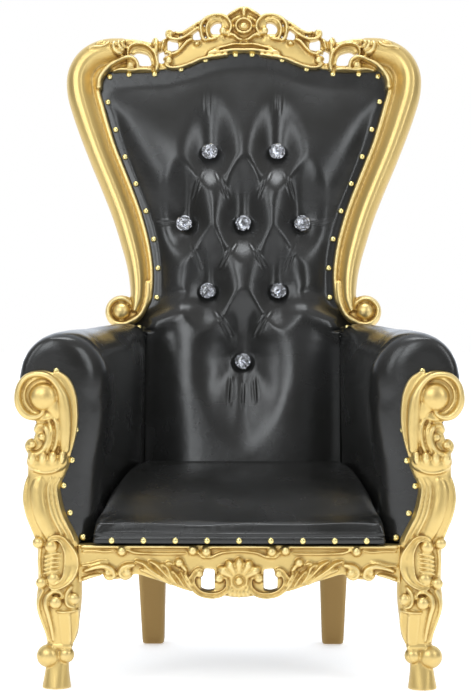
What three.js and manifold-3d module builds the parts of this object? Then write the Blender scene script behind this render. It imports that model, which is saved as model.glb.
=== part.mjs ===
// A small high-backed throne: a carved, gold-painted wooden frame round black tufted upholstery.
// Millimetres, +Z up, +X to the sitter's left, front towards -Y, origin on the floor under the middle.
import * as THREE from "three";
import { mergeVertices } from "three/addons/utils/BufferGeometryUtils.js";
import Module from "manifold-3d";

const wasm = await Module();
wasm.setup();

// ---- driving dimensions ----
const gap = 0.4; // clearance between touching pieces
const railTop = 207; // top of the seat rails
const railBottom = 160;
const railFront = 8; // the front rail's face, behind the foremost carving at 0
const railThick = 24;
const backLine = 385; // rear face of the back at the height of the rail top
const rake = 10; // lean of the back, degrees
const padRear = 8; // the inner back pad starts this far in front of the frame's rear face
const padEdge = 20; // pad thickness, from the frame's rear face, along its nailed edge
const padRise = 34; // how much further the pad's crown stands out
const crestTop = 825; // along the raked back, from the rail top
const postDepth = 29.5;
const legDepth = 50;
const rearLegX = 143;
const rearLegFoot = 418; // how far back the rear feet stand
const voluteX = 280; // centre of the arm's volute
const voluteZ = 418;
const voluteR = 37;
const strandStep = 28; // length of one facet along a carved strand
const buttonR = 11.5;
const buttonRows = [
  { v: 580, xs: [-54, 54] },
  { v: 463, xs: [-94, 0, 94] },
  { v: 354, xs: [-56, 56] },
  { v: 241, xs: [0] },
];

const deg = Math.PI / 180;
const mix = (a, b, t) => a + (b - a) * t;
const clamp01 = (t) => Math.min(1, Math.max(0, t));

// ---- materials ----
const gold = new THREE.MeshStandardMaterial({ color: 0xc79a3c, roughness: 0.36, metalness: 0.85 });
const plainGold = new THREE.MeshStandardMaterial({ color: 0xb08a3e, roughness: 0.45, metalness: 0.75 });
const leather = new THREE.MeshStandardMaterial({ color: 0x151617, roughness: 0.36, metalness: 0 });
const crystal = new THREE.MeshStandardMaterial({ color: 0xe6ebf2, roughness: 0.05, metalness: 0.1 });
const boardCloth = new THREE.MeshStandardMaterial({ color: 0x101010, roughness: 0.9, metalness: 0 });

// ---- solids ----
function toSolid(geometry) {
  const bare = geometry.index ? geometry.toNonIndexed() : geometry.clone();
  bare.deleteAttribute("normal");
  bare.deleteAttribute("uv");
  const merged = mergeVertices(bare, 1e-3);
  const triVerts = new Uint32Array(merged.index.array);
  const vertProperties = merged.attributes.position.array;
  const made = new wasm.Manifold(new wasm.Mesh({ numProp: 3, vertProperties, triVerts }));
  if (made.volume() > 0) return made;
  for (let i = 0; i < triVerts.length; i += 3) {
    [triVerts[i + 1], triVerts[i + 2]] = [triVerts[i + 2], triVerts[i + 1]];
  }
  return new wasm.Manifold(new wasm.Mesh({ numProp: 3, vertProperties, triVerts }));
}

function toGeometry(solid) {
  const mesh = solid.getMesh();
  const geometry = new THREE.BufferGeometry();
  const corners = new Float32Array(mesh.numVert * 3);
  for (let i = 0; i < mesh.numVert; i++) {
    corners.set(mesh.vertProperties.subarray(i * mesh.numProp, i * mesh.numProp + 3), i * 3);
  }
  geometry.setAttribute("position", new THREE.BufferAttribute(corners, 3));
  geometry.setIndex(new THREE.BufferAttribute(mesh.triVerts, 1));
  geometry.computeVertexNormals();
  return geometry;
}

// The largest body of a solid, without loose crumbs or closed-in pockets.
function mainBody(solid) {
  return solid.decompose().reduce((best, one) => (one.volume() > best.volume() ? one : best));
}

function fuse(solids) {
  return mainBody(solids.reduce((all, one) => all.add(one)));
}

function mirrored(solid) {
  return solid.mirror([1, 0, 0]);
}

function withMirror(solids) {
  return [...solids, ...solids.map(mirrored)];
}

// A closed skin over rings of equal size, with a fan over each end.
function loft(rings) {
  const n = rings[0].length;
  const corners = rings.flat();
  const index = [];
  for (let r = 0; r + 1 < rings.length; r++) {
    for (let k = 0; k < n; k++) {
      const a = r * n + k;
      const b = r * n + ((k + 1) % n);
      index.push(a, b, b + n, a, b + n, a + n);
    }
  }
  for (const [r, turn] of [[0, 1], [rings.length - 1, 0]]) {
    const middle = [0, 1, 2].map((axis) => rings[r].reduce((sum, p) => sum + p[axis], 0) / n);
    const hub = corners.push(middle) - 1;
    for (let k = 0; k < n; k++) {
      const a = r * n + k;
      const b = r * n + ((k + 1) % n);
      index.push(hub, turn ? b : a, turn ? a : b);
    }
  }
  const geometry = new THREE.BufferGeometry();
  geometry.setAttribute("position", new THREE.Float32BufferAttribute(corners.flat(), 3));
  geometry.setIndex(index);
  return toSolid(geometry);
}

function ball(x, y, z, r, squash = 1) {
  const geometry = new THREE.SphereGeometry(r, 7, 3).rotateX(Math.PI / 2).scale(1, squash, 1);
  return toSolid(geometry.translate(x, y, z));
}

// A flat disc or rod along y, from the front face to the rear face.
function rod(x, z, r, front, rear, sides = 12) {
  const geometry = new THREE.CylinderGeometry(r, r, rear - front, sides);
  return toSolid(geometry.translate(x, (front + rear) / 2, z));
}

// A level through a short list of [position, value] pairs, smooth between them.
function profile(pairs) {
  const curve = new THREE.CatmullRomCurve3(
    pairs.map(([at, value]) => new THREE.Vector3(at, value, 0)), false, "centripetal");
  const fine = curve.getPoints(pairs.length * 8);
  return (at) => {
    const next = fine.findIndex((p) => p.x >= at);
    if (next < 0) return fine.at(-1).y;
    if (next === 0) return fine[0].y;
    const [p, q] = [fine[next - 1], fine[next]];
    return mix(p.y, q.y, (at - p.x) / (q.x - p.x));
  };
}

function alongList(values, t) {
  const at = clamp01(t) * (values.length - 1);
  const low = Math.min(values.length - 2, Math.floor(at));
  return mix(values[low], values[low + 1], at - low);
}

// Points that wind in round a centre: [x, z] pairs, angles in degrees.
function spiral([x, z], outer, inner, start, turn, count = 9) {
  return Array.from({ length: count }, (_, i) => {
    const t = i / (count - 1);
    const r = mix(outer, inner, t);
    const a = (start + turn * t) * deg;
    return [x + r * Math.cos(a), z + r * Math.sin(a)];
  });
}

// A carved strand that runs through [x, z] points on a face at depth y: a ridge with a narrower top.
function strand(points, { y, widths, heights, root = 2.5, facets }) {
  const curve = new THREE.CatmullRomCurve3(
    points.map(([x, z]) => new THREE.Vector3(x, 0, z)), false, "centripetal");
  const section = [[-1, 0], [-0.6, 1], [0.6, 1], [1, 0]];
  const steps = facets ?? Math.max(3, Math.round(curve.getLength() / strandStep));
  const rings = [];
  for (let i = 0; i <= steps; i++) {
    const t = i / steps;
    const at = curve.getPointAt(t);
    const along = curve.getTangentAt(t);
    const half = alongList(widths, t) / 2;
    const height = alongList(heights, t);
    rings.push(section.map(([across, up]) => [
      at.x + along.z * half * across, y + root - (height + root) * up, at.z - along.x * half * across,
    ]));
  }
  return loft(rings);
}

// A plate in the x-z plane with its outline and holes as THREE.Shape paths.
function plate(outline, front, rear, bevel = 0) {
  const settings = {
    depth: rear - front - 2 * bevel, bevelEnabled: bevel > 0, bevelThickness: bevel,
    bevelSize: bevel, bevelOffset: -bevel, bevelSegments: 1, curveSegments: 6,
  };
  const geometry = new THREE.ExtrudeGeometry(outline, settings);
  return toSolid(geometry.rotateX(Math.PI / 2).translate(0, rear - bevel, 0));
}

// An oval plug along y; it is what a piercing takes out of a plate.
function plug([x, z, halfWide, halfHigh, tilt], sides = 7) {
  const geometry = new THREE.CylinderGeometry(1, 1, 120, sides).scale(halfWide, 1, halfHigh);
  return toSolid(geometry.rotateY(tilt * deg).translate(x, 0, z));
}

// A smooth closed outline from half of its points, mirrored in x.
function symmetricShape(half, perSpan = 3) {
  const points = [...half, ...half.slice(1, -1).reverse().map(([x, z]) => [-x, z])];
  const curve = new THREE.CatmullRomCurve3(
    points.map(([x, z]) => new THREE.Vector3(x, z, 0)), true, "centripetal");
  return new THREE.Shape(
    curve.getPoints(points.length * perSpan).slice(0, -1).map((p) => new THREE.Vector2(p.x, p.y)));
}

// ---- the back: its pieces share a frame whose z runs up the raked back and y = 0 is its rear face ----
const crestUnder = profile([[0, 747], [44, 744], [74, 734], [100, 723], [137, 717], [212, 716]]);
const cornerX = 226;
const memberPath = new THREE.CatmullRomCurve3([
  [170, 322], [163.5, 342], [162.5, 374], [166, 404], [174, 439], [187, 482], [203, 524], [227.5, 587], [247, 648],
  [256.5, 684], [256, 712], [244, 732], [222, 741.5], [200, 742.5],
].map(([x, z]) => new THREE.Vector3(x, 0, z)), false, "centripetal");
const memberWidth = [17, 35, 40, 43.5, 47, 48, 48, 47.5, 49.5, 49, 49, 50, 52, 52];
const memberSteps = 15;

// A station of the side member: its middle, its direction and its half-width.
function memberAt(step) {
  const t = step / memberSteps;
  const at = memberPath.getPoint(t);
  const along = memberPath.getTangent(t);
  return { at, along, half: alongList(memberWidth, t) / 2 };
}

function sideMember() {
  // Across the member from its outer edge (-1) to its inner edge (1): how far it stands forward.
  const section = [
    [-1, 0], [-1, 18], [-0.7, 33], [-0.25, 38], [0.15, 32.5], [0.55, 23.5], [0.7, 27.5], [1, 26], [1, 0],
  ];
  const rings = Array.from({ length: memberSteps + 1 }, (_, i) => {
    const { at, along, half } = memberAt(i);
    return section.map(([across, forward]) => [
      at.x - along.z * half * across, -forward, at.z + along.x * half * across,
    ]);
  });
  return loft(rings);
}

function backVolute() {
  const centre = [194, 324];
  const rim = [[152, 356], [155.5, 336], [164, 318], ...spiral(centre, 22, 18, -120, 290, 9)];
  return [
    rod(...centre, 25, -22, 0),
    ball(centre[0], -22, centre[1], 15, 0.9),
    strand(rim, { y: -24, widths: [9, 9, 10, 9, 7], heights: [7, 8, 9, 9, 6] }),
  ];
}

function crestPlate() {
  const half = [
    [0, crestTop], [9, 819], [16, 814], [27, 808], [45, 811], [62, 806], [76, 793], [96, 777], [106, 780],
    [116, 780], [124, 771], [132, 768], [140, 771], [148, 764], [168, 767], [206, 767.5], [213, 745], [207, 719],
    [167, 719], [137, 717], [100, 723], [74, 734], [44, 744], [0, 747],
  ];
  const shape = symmetricShape(half, 1);
  const openings = [
    [46, 793, 8.5, 10, 0], [78, 776, 5.5, 6, -30], [116, 760, 9, 5, -10], [133, 743.5, 5.5, 5, 0],
    [161, 739, 14, 8, 12],
  ];
  const plugs = withMirror(openings.map((opening) => plug(opening)));
  return plugs.reduce((left, one) => left.subtract(one), plate(shape, -26, -4));
}

function crestCarving() {
  const y = -25;
  const half = [
    // C-scroll beside the cartouche, its eye, and the long strand down to its own small volute
    strand([[33, 778], [58, 776], [66, 792], [58, 806], [42, 810], [30, 803], [25, 792], [32, 786]],
      { y, widths: [5, 8, 9, 8, 7, 5], heights: [6, 9, 10, 10, 8, 6] }),
    ball(32, y - 3, 787, 7.5),
    strand([[62, 800], [80, 788], [96, 771], [110, 767], [121, 772], [117, 781]],
      { y, widths: [6, 7, 7, 6, 5], heights: [6, 8, 8, 7, 6] }),
    // band along the lower edge with its end volute, and the bead under it
    strand([[8, 762], [40, 764], [66, 757], [92, 744], [112, 732], ...spiral([124, 733], 8, 6, 200, 200, 4)],
      { y, widths: [6, 8, 8, 7, 5], heights: [6, 7, 8, 8, 7] }),
    strand([[-3, 750], [44, 747], [74, 737], [100, 726], [136, 720]],
      { y, widths: [6, 6, 6, 5], heights: [7, 7, 7, 5] }),
    // leaf that joins crest and shoulder
    strand([[139, 722], [141, 742], [139, 758], [133, 770]],
      { y, widths: [5, 7, 7, 4], heights: [6, 9, 9, 5] }),
    // C-scroll round the largest piercing, and the small scroll below it
    strand([[146, 727], [143, 744], [153, 756], [170, 757], [184, 751], [183, 741]],
      { y, widths: [6, 7, 8, 8, 5], heights: [7, 9, 10, 10, 6] }),
    strand([[223, 726], [207, 733], [190, 735], [178, 730], [172, 721]],
      { y, widths: [5, 8, 9, 9, 6], heights: [15, 16, 15, 11, 6], root: 6 }),
    ball(183, y - 4, 726, 6.5),
  ];
  return [...withMirror(half), ...cartouche([0, 793])];
}

// Pointed leaves round an oval boss.
function cartouche([x, z]) {
  const outline = Array.from({ length: 12 }, (_, i) => {
    const a = (90 + i * 30) * deg;
    const tip = i === 0 ? 29 : 23;
    const r = i % 2 ? 15 : tip;
    return new THREE.Vector2(x + r * Math.cos(a), z + r * Math.sin(a));
  });
  return [plate(new THREE.Shape(outline), -31, -20), rod(x, z, 14, -36, -20, 10), ball(x, -36, z, 8)];
}

function backFrame() {
  const sides = withMirror([sideMember(), ...backVolute()]);
  return fuse([crestPlate(), ...sides, ...crestCarving()]);
}

// Half-width of the padded back at a height up the back: it follows the frame's inner edge.
const padGap = 2;
const topGap = 5;
const lowerHalf = 149.5; // between the arms
const innerEdge = [[300, 172], [306, 166], [320, 156], [338, 148.5]];
for (let step = 2; step < memberSteps; step++) {
  const { at, along, half } = memberAt(step);
  const edge = [at.z + along.x * half, at.x - along.z * half];
  if (edge[0] > innerEdge.at(-1)[0] + 8 && edge[0] < 690) innerEdge.push(edge);
}
const frameEdge = profile(innerEdge);
const padHalfAt = (v) => (v < 300 ? lowerHalf : frameEdge(v) - padGap);

// Maps s across (-1..1) and t up (0..1) to a point of the padded back's outline plan.
function padPlan(s, t) {
  const low = 0.6;
  const shoulder = 655;
  const v = mix(low, shoulder, Math.min(1, t / 0.9));
  if (t <= 0.9) return [s * padHalfAt(v), v];
  const up = (t - 0.9) / 0.1;
  const bulge = Math.sin(Math.PI * up) * 5;
  const x = s * (mix(padHalfAt(shoulder), cornerX - 5, up) + bulge);
  return [x, mix(shoulder, crestUnder(Math.abs(x)) - topGap, up)];
}

// How far the padded back stands forward of the rear face of the frame.
function padForward(s, t) {
  const [x, v] = padPlan(s, t);
  const fromSide = (1 - Math.abs(s)) * padHalfAt(Math.min(v, 655));
  const fromTop = crestUnder(Math.abs(x)) - v;
  const crown = Math.sqrt(clamp01(Math.min(fromSide, fromTop, 70) / 70));
  let forward = padEdge + padRise * crown;
  for (const row of buttonRows) {
    for (const bx of row.xs) {
      const away = Math.hypot(x - bx, v - row.v);
      forward -= 17 * Math.exp(-((away / 24) ** 2));
    }
  }
  return forward;
}

// Shares of the way up at which the back's pad and panel have their cross-sections.
const padRows = [0, 0.2, 0.33, 0.41, 0.425, 0.455, 0.49, 0.55, 0.63, 0.7, 0.8, 0.9, 0.95, 1];

function innerBack() {
  const across = 10;
  const rings = padRows.map((t) => {
    const front = Array.from({ length: across + 1 }, (_, k) => {
      const s = (2 * k) / across - 1;
      const [x, v] = padPlan(s, t);
      return [x, -padForward(s, t), v];
    });
    const rear = Array.from({ length: 5 }, (_, k) => {
      const s = 1 - k / 2;
      const [x, v] = padPlan(s, t);
      return [x, -padRear, v];
    });
    return [...front, ...rear];
  });
  const pockets = buttonRows.flatMap((row) => row.xs.map((x) => rod(x, row.v, buttonR + 0.8, -90, -36, 8)));
  return pockets.reduce((pad, pocket) => pad.subtract(pocket), loft(rings));
}

function outerBack() {
  const ends = [-1, -0.5, 0, 0.5, 1];
  const rings = padRows.map((t) => {
    const front = ends.map((s) => [padPlan(s, t)[0], -padRear + gap, padPlan(s, t)[1]]);
    const rear = ends.map((s) => [padPlan(-s, t)[0], Math.abs(s) < 1 ? 2 : 0, padPlan(-s, t)[1]]);
    return [...front, ...rear];
  });
  return loft(rings);
}

// A cut crystal stud: table, crown and pavilion in flat facets.
function button() {
  const outline = [[0, 3], [8, 3], [buttonR, 0], [buttonR * 0.6, -5], [0, -5]];
  const profilePoints = outline.map(([r, y]) => new THREE.Vector2(r, -y));
  return toSolid(new THREE.LatheGeometry(profilePoints.reverse(), 8).rotateX(Math.PI));
}

// ---- front legs, each in one piece with its arm post ----
// Silhouette of leg and post from the front: height, inner edge, outer edge.
const silhouette = [
  [0, 239.5, 277], [30, 243.5, 272], [60, 242, 269], [76, 233, 272], [99, 229, 280], [118, 227.4, 286.5],
  [144, 227.4, 284.5], [203, 227.4, 284.5], [206.4, 229, 285], [224, 235, 290], [249, 247, 300.5], [271, 252, 305.5],
  [290, 254, 303.5], [308, 242, 302], [336, 236, 301], [350, 232, 296], [380, 230.5, 276], [400, 229.5, 256],
];
const legFront = profile([[0, 2], [30, 9], [44, 11], [76, 7], [118, -3], [144, 2], [206, 3], [250, -2], [290, 1],
  [320, -2], [350, 4], [425, 6]]);
const legRear = profile([[0, 46], [30, 40], [44, 38], [76, 43], [118, 49], [144, legDepth], [203, legDepth]]);

function legCore() {
  const rings = silhouette.map(([z, inner, outer]) => {
    const front = legFront(z);
    const rear = z > 206 ? postDepth : legRear(z);
    const squareness = 3;
    const sides = 8;
    return Array.from({ length: sides }, (_, k) => {
      const a = (2 * Math.PI * (k + 0.5)) / sides;
      const c = Math.cos(a);
      const s = Math.sin(a);
      const r = (Math.abs(c) ** squareness + Math.abs(s) ** squareness) ** (-1 / squareness);
      return [mix(inner, outer, (1 + r * c) / 2), mix(front, rear, (1 + r * s) / 2), z];
    });
  });
  return loft(rings);
}

function postVolute() {
  const centre = [voluteX, voluteZ];
  const rim = [
    [236, 345], [233.5, 375], [234, 400], [238, 425], [248, 444], [262, 453], ...spiral(centre, 33, 24, 95, -275, 9),
  ];
  return [
    rod(...centre, voluteR - 1, 4, postDepth, 14),
    plate(new THREE.Shape([[229.5, 395], [262, 395], [262, 448], [250, 450], [238, 438], [231, 420]]
      .map(([x, z]) => new THREE.Vector2(x, z))), 5, postDepth, 1),
    ball(centre[0] - 3, 3, centre[1] - 1, 17.5, 0.75),
    strand(rim, { y: 4, widths: [7, 9, 10, 11, 10, 7], heights: [5, 6, 7, 7, 7, 5] }),
  ];
}

function postLeaf() {
  const curls = [
    strand([[282, 322], [294, 334], [290, 350], [278, 366], [270, 374]],
      { y: 3, widths: [6, 9, 9, 8, 5], heights: [5, 8, 9, 8, 5] }),
    strand([[256, 330], [263, 352], [262, 370], [256, 386]],
      { y: 3, widths: [6, 9, 9, 5], heights: [4, 7, 8, 5] }),
    ball(290, 2, 347, 9),
  ];
  const beads = strand([[302, 324], [240, 327]],
    { y: 1, widths: [3, 16, 5, 16, 5, 16, 5, 16, 3], heights: [2, 9, 3, 9, 3, 9, 3, 9, 2], facets: 8 });
  const cup = strand([[299, 320], [286, 308], [268, 304], [252, 309], [242, 320]],
    { y: 0, widths: [6, 11, 13, 11, 5], heights: [5, 8, 9, 8, 5] });
  return [...curls, beads, cup];
}

function kneeBlock() {
  return [
    // big C-scroll down the inner side of the block, with an eye at each end
    strand([[262, 206], [250, 217], [237, 208], [234, 185], [238, 160], [252, 150], [264, 154]],
      { y: 4, widths: [7, 10, 11, 11, 11, 9], heights: [5, 8, 8, 8, 9, 6] }),
    ball(262, 2, 206, 9.5),
    ball(262, 1, 157, 9.5),
    ball(278, 4, 216, 8),
  ];
}

function calfAndFoot() {
  return [
    strand([[266, 84], [273, 108], [269, 128], [257, 138]],
      { y: 2, widths: [4, 6, 7, 7], heights: [3, 6, 8, 8] }),
    ball(257, 0, 128, 10),
    ball(237, 1, 128, 9),
    ball(273.5, 14, 49, 14),
    ball(247, 13, 51, 11),
  ];
}

function frontLeg() {
  return fuse([legCore(), ...postVolute(), ...postLeaf(), ...kneeBlock(), ...calfAndFoot()]);
}

// The room that an arm leaves round its post: a prism a little larger than the post's outline.
function postRoom() {
  const grow = 1.2;
  const upper = silhouette.filter(([z]) => z > railTop - 1 && z < 350);
  const inner = upper.map(([z, x]) => [x - grow, z]);
  const outer = upper.map(([z, , x]) => [x + grow, z]).reverse();
  const round = spiral([voluteX, voluteZ], voluteR + 2, voluteR + 2, -75, 175, 10);
  const outline = [
    [227, 190], ...inner, [229, 350], [227, 392], [227, 422], [233, 442], [243, 454], [256, 461], ...round.reverse(),
    ...outer, [290, 190],
  ];
  const shape = new THREE.Shape(outline.map(([x, z]) => new THREE.Vector2(x, z)));
  return plate(shape, -40, postDepth + gap, 0);
}

// ---- seat frame ----
function frontRailPlate() {
  const half = [
    [0, 130], [14, 130.5], [28, 136], [56, 137], [76, 141], [100, 149], [126, 158], [147, 164], [156, 162], [168, 159],
    [184, 160], [192, 165], [204, 163], [216, 155], [226.8, 152],
  ];
  const points = [
    ...half, [226.8, railTop - 0.6], [-226.8, railTop - 0.6], ...half.slice(1).reverse().map(([x, z]) => [-x, z]),
  ];
  const shape = new THREE.Shape(points.map(([x, z]) => new THREE.Vector2(x, z)));
  const piercings = withMirror([plug([45, 157, 6, 11, 12])]);
  return piercings.reduce((left, one) => left.subtract(one), plate(shape, railFront, railFront + railThick));
}

// A scallop: ribs fan out from a rosette, each rib a hump across the fan.
function shell() {
  const ribs = 5;
  const fan = [[9, 4], [22, 9], [31, 11], [36, 5]].map(([r, height]) => {
    const front = Array.from({ length: 2 * ribs + 1 }, (_, i) => {
      const a = mix(-4, 184, i / (2 * ribs)) * deg;
      const dip = i % 2 ? 0 : 4;
      return [r * Math.cos(a), railFront - height + dip, 157 + (r - dip / 2) * Math.sin(a)];
    });
    return [...front, [-r, railFront + 6, 157 - r * 0.07], [r, railFront + 6, 157 - r * 0.07]];
  });
  const tongue = plate(new THREE.Shape([[-9, 154], [-19, 134], [-8, 131], [8, 131], [19, 134], [9, 154]]
    .map(([x, z]) => new THREE.Vector2(x, z))), railFront - 5, railFront + 4);
  return [loft(fan), tongue, rod(0, 157, 12.5, railFront - 8, railFront + 4, 10), ball(0, railFront - 7, 157, 7)];
}

// Outline of a leaf: lobes along its upper side, from the stem's foot to its tip.
function leafOutline(foot, tip, reach, lobes) {
  const points = [foot];
  for (let i = 0; i < lobes; i++) {
    const lift = reach * Math.sin(Math.PI * ((i + 0.7) / (lobes + 0.6)) ** 0.8);
    for (const [along, out] of [[0.1, 0.45], [0.35, 0.95], [0.7, 1], [1, 0.5]]) {
      const t = (i + along) / lobes;
      points.push([mix(foot[0], tip[0], t), mix(foot[1], tip[1], t) + lift * out]);
    }
  }
  return new THREE.Shape([...points, tip].map(([x, z]) => new THREE.Vector2(x, z)));
}

function railCarving() {
  const y = railFront + 1;
  const half = [
    // C-scroll round each piercing
    strand([[22, 168], [19, 150], [32, 139], [52, 140], [68, 152], [68, 168], [56, 175], [48, 171]],
      { y, widths: [5, 7, 9, 10, 9, 6], heights: [5, 7, 8, 8, 8, 5] }),
    ball(32, y - 1, 158, 8),
    // top moulding in lengths, each rolled into a small scroll at its ends
    strand([[-3, 202.5], [30, 203], [48, 202], [52, 194]], { y, widths: [7, 7, 6, 5], heights: [5, 5, 5, 4] }),
    strand([[226, 200], [190, 202], [150, 203], [90, 203], [68, 202], [64, 194]],
      { y, widths: [6, 7, 7, 6, 5], heights: [4, 5, 5, 5, 4] }),
    // lower edge beside the leg
    strand([[224, 162], [206, 171], [193, 172], [180, 166]], { y, widths: [5, 6, 8, 6], heights: [4, 5, 6, 5] }),
    // acanthus leaf and its stem
    plate(leafOutline([160, 174], [76, 150], 18, 5), y - 5, y + 4),
    strand([[172, 175], [146, 178], [116, 170], [92, 156], [74, 146]],
      { y: y - 1, widths: [4, 7, 9, 9, 5], heights: [5, 8, 9, 8, 4] }),
  ];
  return withMirror(half);
}

function frontRail() {
  const clearOfLegs = plate(new THREE.Shape([[-226.9, 100], [226.9, 100], [226.9, 206.6], [-226.9, 206.6]]
    .map(([x, z]) => new THREE.Vector2(x, z))), -20, 60, 0);
  return mainBody(fuse([frontRailPlate(), ...shell(), ...railCarving()]).intersect(clearOfLegs));
}

const sideRailEnds = { front: legDepth + 0.8, rear: 344.4 };
const railInnerX = (y) => mix(262, 148, (y - sideRailEnds.front) / (sideRailEnds.rear - sideRailEnds.front));

function sideRail() {
  // Section: distance out from the inner face, height. A bead runs along the top and the bottom.
  const section = [
    [0, railBottom], [19, railBottom], [22, 163], [22, 168], [18.5, 172], [18.5, 193], [22, 197], [22, 204],
    [19, railTop - 0.6], [0, railTop - 0.6],
  ];
  const { front, rear } = sideRailEnds;
  const splay = (railInnerX(rear) - railInnerX(front)) / (rear - front);
  const skew = [1, 0, 0, 0, splay, 1, 0, 0, 0, 0, 1, 0, railInnerX(front) - splay * front, 0, 0, 1];
  const shape = new THREE.Shape(section.map(([out, z]) => new THREE.Vector2(out, z)));
  return plate(shape, front, rear).transform(skew);
}

function rearRail() {
  const length = 2 * (rearLegX - 24.2);
  const geometry = new THREE.BoxGeometry(length, 22, railTop - 0.6 - railBottom);
  return toSolid(geometry.translate(0, backLine - 12, (railTop - 0.6 + railBottom) / 2));
}

function rearLeg() {
  const stations = [
    [0, rearLegFoot, 13.5, 13.5], [3, rearLegFoot - 0.5, 16.5, 16.5], [8, rearLegFoot - 2, 17.5, 17.5],
    [100, 387, 21, 19], [158, 369, 23.5, 20.5], [railTop - 0.6, 366, 23.5, 20.5],
  ];
  const rings = stations.map(([z, y, halfX, halfY]) => Array.from({ length: 12 }, (_, k) => {
    const a = (2 * Math.PI * (k + 0.5)) / 12;
    const r = (Math.abs(Math.cos(a)) ** 5 + Math.abs(Math.sin(a)) ** 5) ** -0.2;
    return [rearLegX + halfX * r * Math.cos(a), y + halfY * r * Math.sin(a), z];
  }));
  return loft(rings);
}

function seatDeck() {
  const front = railFront + railThick + gap;
  const half = [
    [226.5, front], [226.5, legDepth + 1.2], [railInnerX(legDepth + 1.2) - 0.8, legDepth + 1.2],
    [railInnerX(344) - 0.8, 344], [rearLegX - 24.5, 344], [rearLegX - 24.5, backLine - 23.6],
  ];
  const outline = [...half, ...half.slice().reverse().map(([x, y]) => [-x, y])];
  const shape = new THREE.Shape(outline.map(([x, y]) => new THREE.Vector2(x, y)));
  const geometry = new THREE.ExtrudeGeometry(shape, { depth: 9, bevelEnabled: false });
  return toSolid(geometry.translate(0, 0, railTop - 10));
}

// ---- upholstery on the seat frame ----
const armStart = 14;
const armLength = backLine - armStart;

// One section across an arm: t runs from the front (0) to the back (1).
function armSection(t, inset = 0) {
  const y = armStart + armLength * t;
  const innerBase = mix(208.5, 150.8, t);
  const inner = mix(193, 150.8, t);
  const outerPanel = mix(290, 184, t);
  const outer = mix(315.5, 222, t) - inset;
  const top = mix(507, 505, t) - inset;
  const middle = (inner + outer) / 2;
  const rollZ = 443;
  const roll = Array.from({ length: 9 }, (_, i) => {
    const a = mix(180, -40, i / 8) * deg;
    const rise = (top - rollZ) * (a < 0 ? 0.75 : 1);
    return [middle + ((outer - inner - inset) / 2) * Math.cos(a), rollZ + rise * Math.sin(a)];
  });
  const outline = [
    [innerBase, railTop], [innerBase - 1, 290], [mix(inner, innerBase, 0.3) + inset, 370], [inner + inset, 415],
    ...roll, [outerPanel + 4, 385], [outerPanel, 360], [outerPanel, railTop],
  ];
  const lean = Math.tan(rake * deg) * t ** 3;
  return outline.map(([x, z]) => [x, y + (z - railTop) * lean, z]);
}

function arm(neighbours) {
  const stations = [[0, 9], [0.012, 3], [0.035, 0], [0.25, 0], [0.5, 0], [0.75, 0], [0.9, 0], [1, 0]];
  const whole = loft(stations.map(([t, inset]) => armSection(t, inset)));
  return mainBody(neighbours.reduce((left, other) => left.subtract(other), whole.subtract(postRoom())));
}

const seatCrown = profile([[5, 212], [8, 228], [14, 241], [26, 251], [50, 262], [90, 276], [150, 292], [220, 301],
  [290, 302], [345, 299]]);

function seatCushion(neighbours) {
  const stations = [5, 8, 13, 22, 36, 60, 100, 160, 230, 300, 352];
  const across = 10;
  const rings = stations.map((y) => {
    const half = mix(208.5, 150.8, (y - armStart) / armLength) - 3 - 4 * Math.exp(-(y - 5) / 4);
    const top = Array.from({ length: across + 1 }, (_, k) => {
      const s = 1 - (2 * k) / across;
      const fall = (seatCrown(y) - railTop) * 0.34 * Math.abs(s) ** 2.6;
      return [s * half, y, seatCrown(y) - fall];
    });
    return [[-half, y, railTop], [half, y, railTop], ...top];
  });
  return mainBody(neighbours.reduce((left, other) => left.subtract(other), loft(rings)));
}

// ---- assembly ----
const throne = new THREE.Group();

function place(name, solid, material, parent = throne) {
  const mesh = new THREE.Mesh(toGeometry(solid), material);
  mesh.name = name;
  parent.add(mesh);
  return mesh;
}

const back = new THREE.Group();
back.position.set(0, backLine, railTop);
back.rotation.x = -rake * deg;
throne.add(back);
back.updateMatrixWorld(true);

// A solid of the raked back, in the throne's own frame and moved by a small step.
function fromBack(solid, step) {
  const matrix = back.matrixWorld.clone().premultiply(new THREE.Matrix4().makeTranslation(...step));
  return toSolid(toGeometry(solid).applyMatrix4(matrix));
}

const frameSolid = backFrame();
const padSolid = innerBack();
const panelSolid = outerBack();
place("back_frame", frameSolid, gold, back);
place("inner_back", padSolid, leather, back);
place("outer_back", panelSolid, leather, back);

const studSolid = button();
let studNumber = 0;
for (const row of buttonRows) {
  for (const x of row.xs) {
    studNumber += 1;
    const stud = place(`crystal_button_${studNumber}`, studSolid, crystal, back);
    stud.position.set(x, -39.6, row.v);
  }
}

const legSolid = frontLeg();
place("front_leg_right", legSolid, gold);
place("front_leg_left", mirrored(legSolid), gold);
place("front_rail", frontRail(), gold);
const sideRailSolid = sideRail();
place("side_rail_right", sideRailSolid, gold);
place("side_rail_left", mirrored(sideRailSolid), gold);
place("rear_rail", rearRail(), plainGold);
const rearLegSolid = rearLeg();
place("rear_leg_right", rearLegSolid, plainGold);
place("rear_leg_left", mirrored(rearLegSolid), plainGold);
place("seat_deck", seatDeck(), boardCloth);

const armNeighbours = [frameSolid, padSolid, panelSolid].flatMap((solid) => [
  fromBack(solid, [0, 0, 0]), fromBack(solid, [gap, 0, -gap]),
]);
const armSolid = arm(armNeighbours);
place("arm_right", armSolid, leather);
place("arm_left", mirrored(armSolid), leather);
const seatNeighbours = [fromBack(padSolid, [0, -gap, 0]), fromBack(padSolid, [0, 0, 0])];
place("seat_cushion", seatCushion(seatNeighbours), leather);

// The origin is on the floor under the middle of the whole throne.
const whole = new THREE.Box3().setFromObject(throne);
throne.position.y = -(whole.min.y + whole.max.y) / 2;

export default throne;
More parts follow.
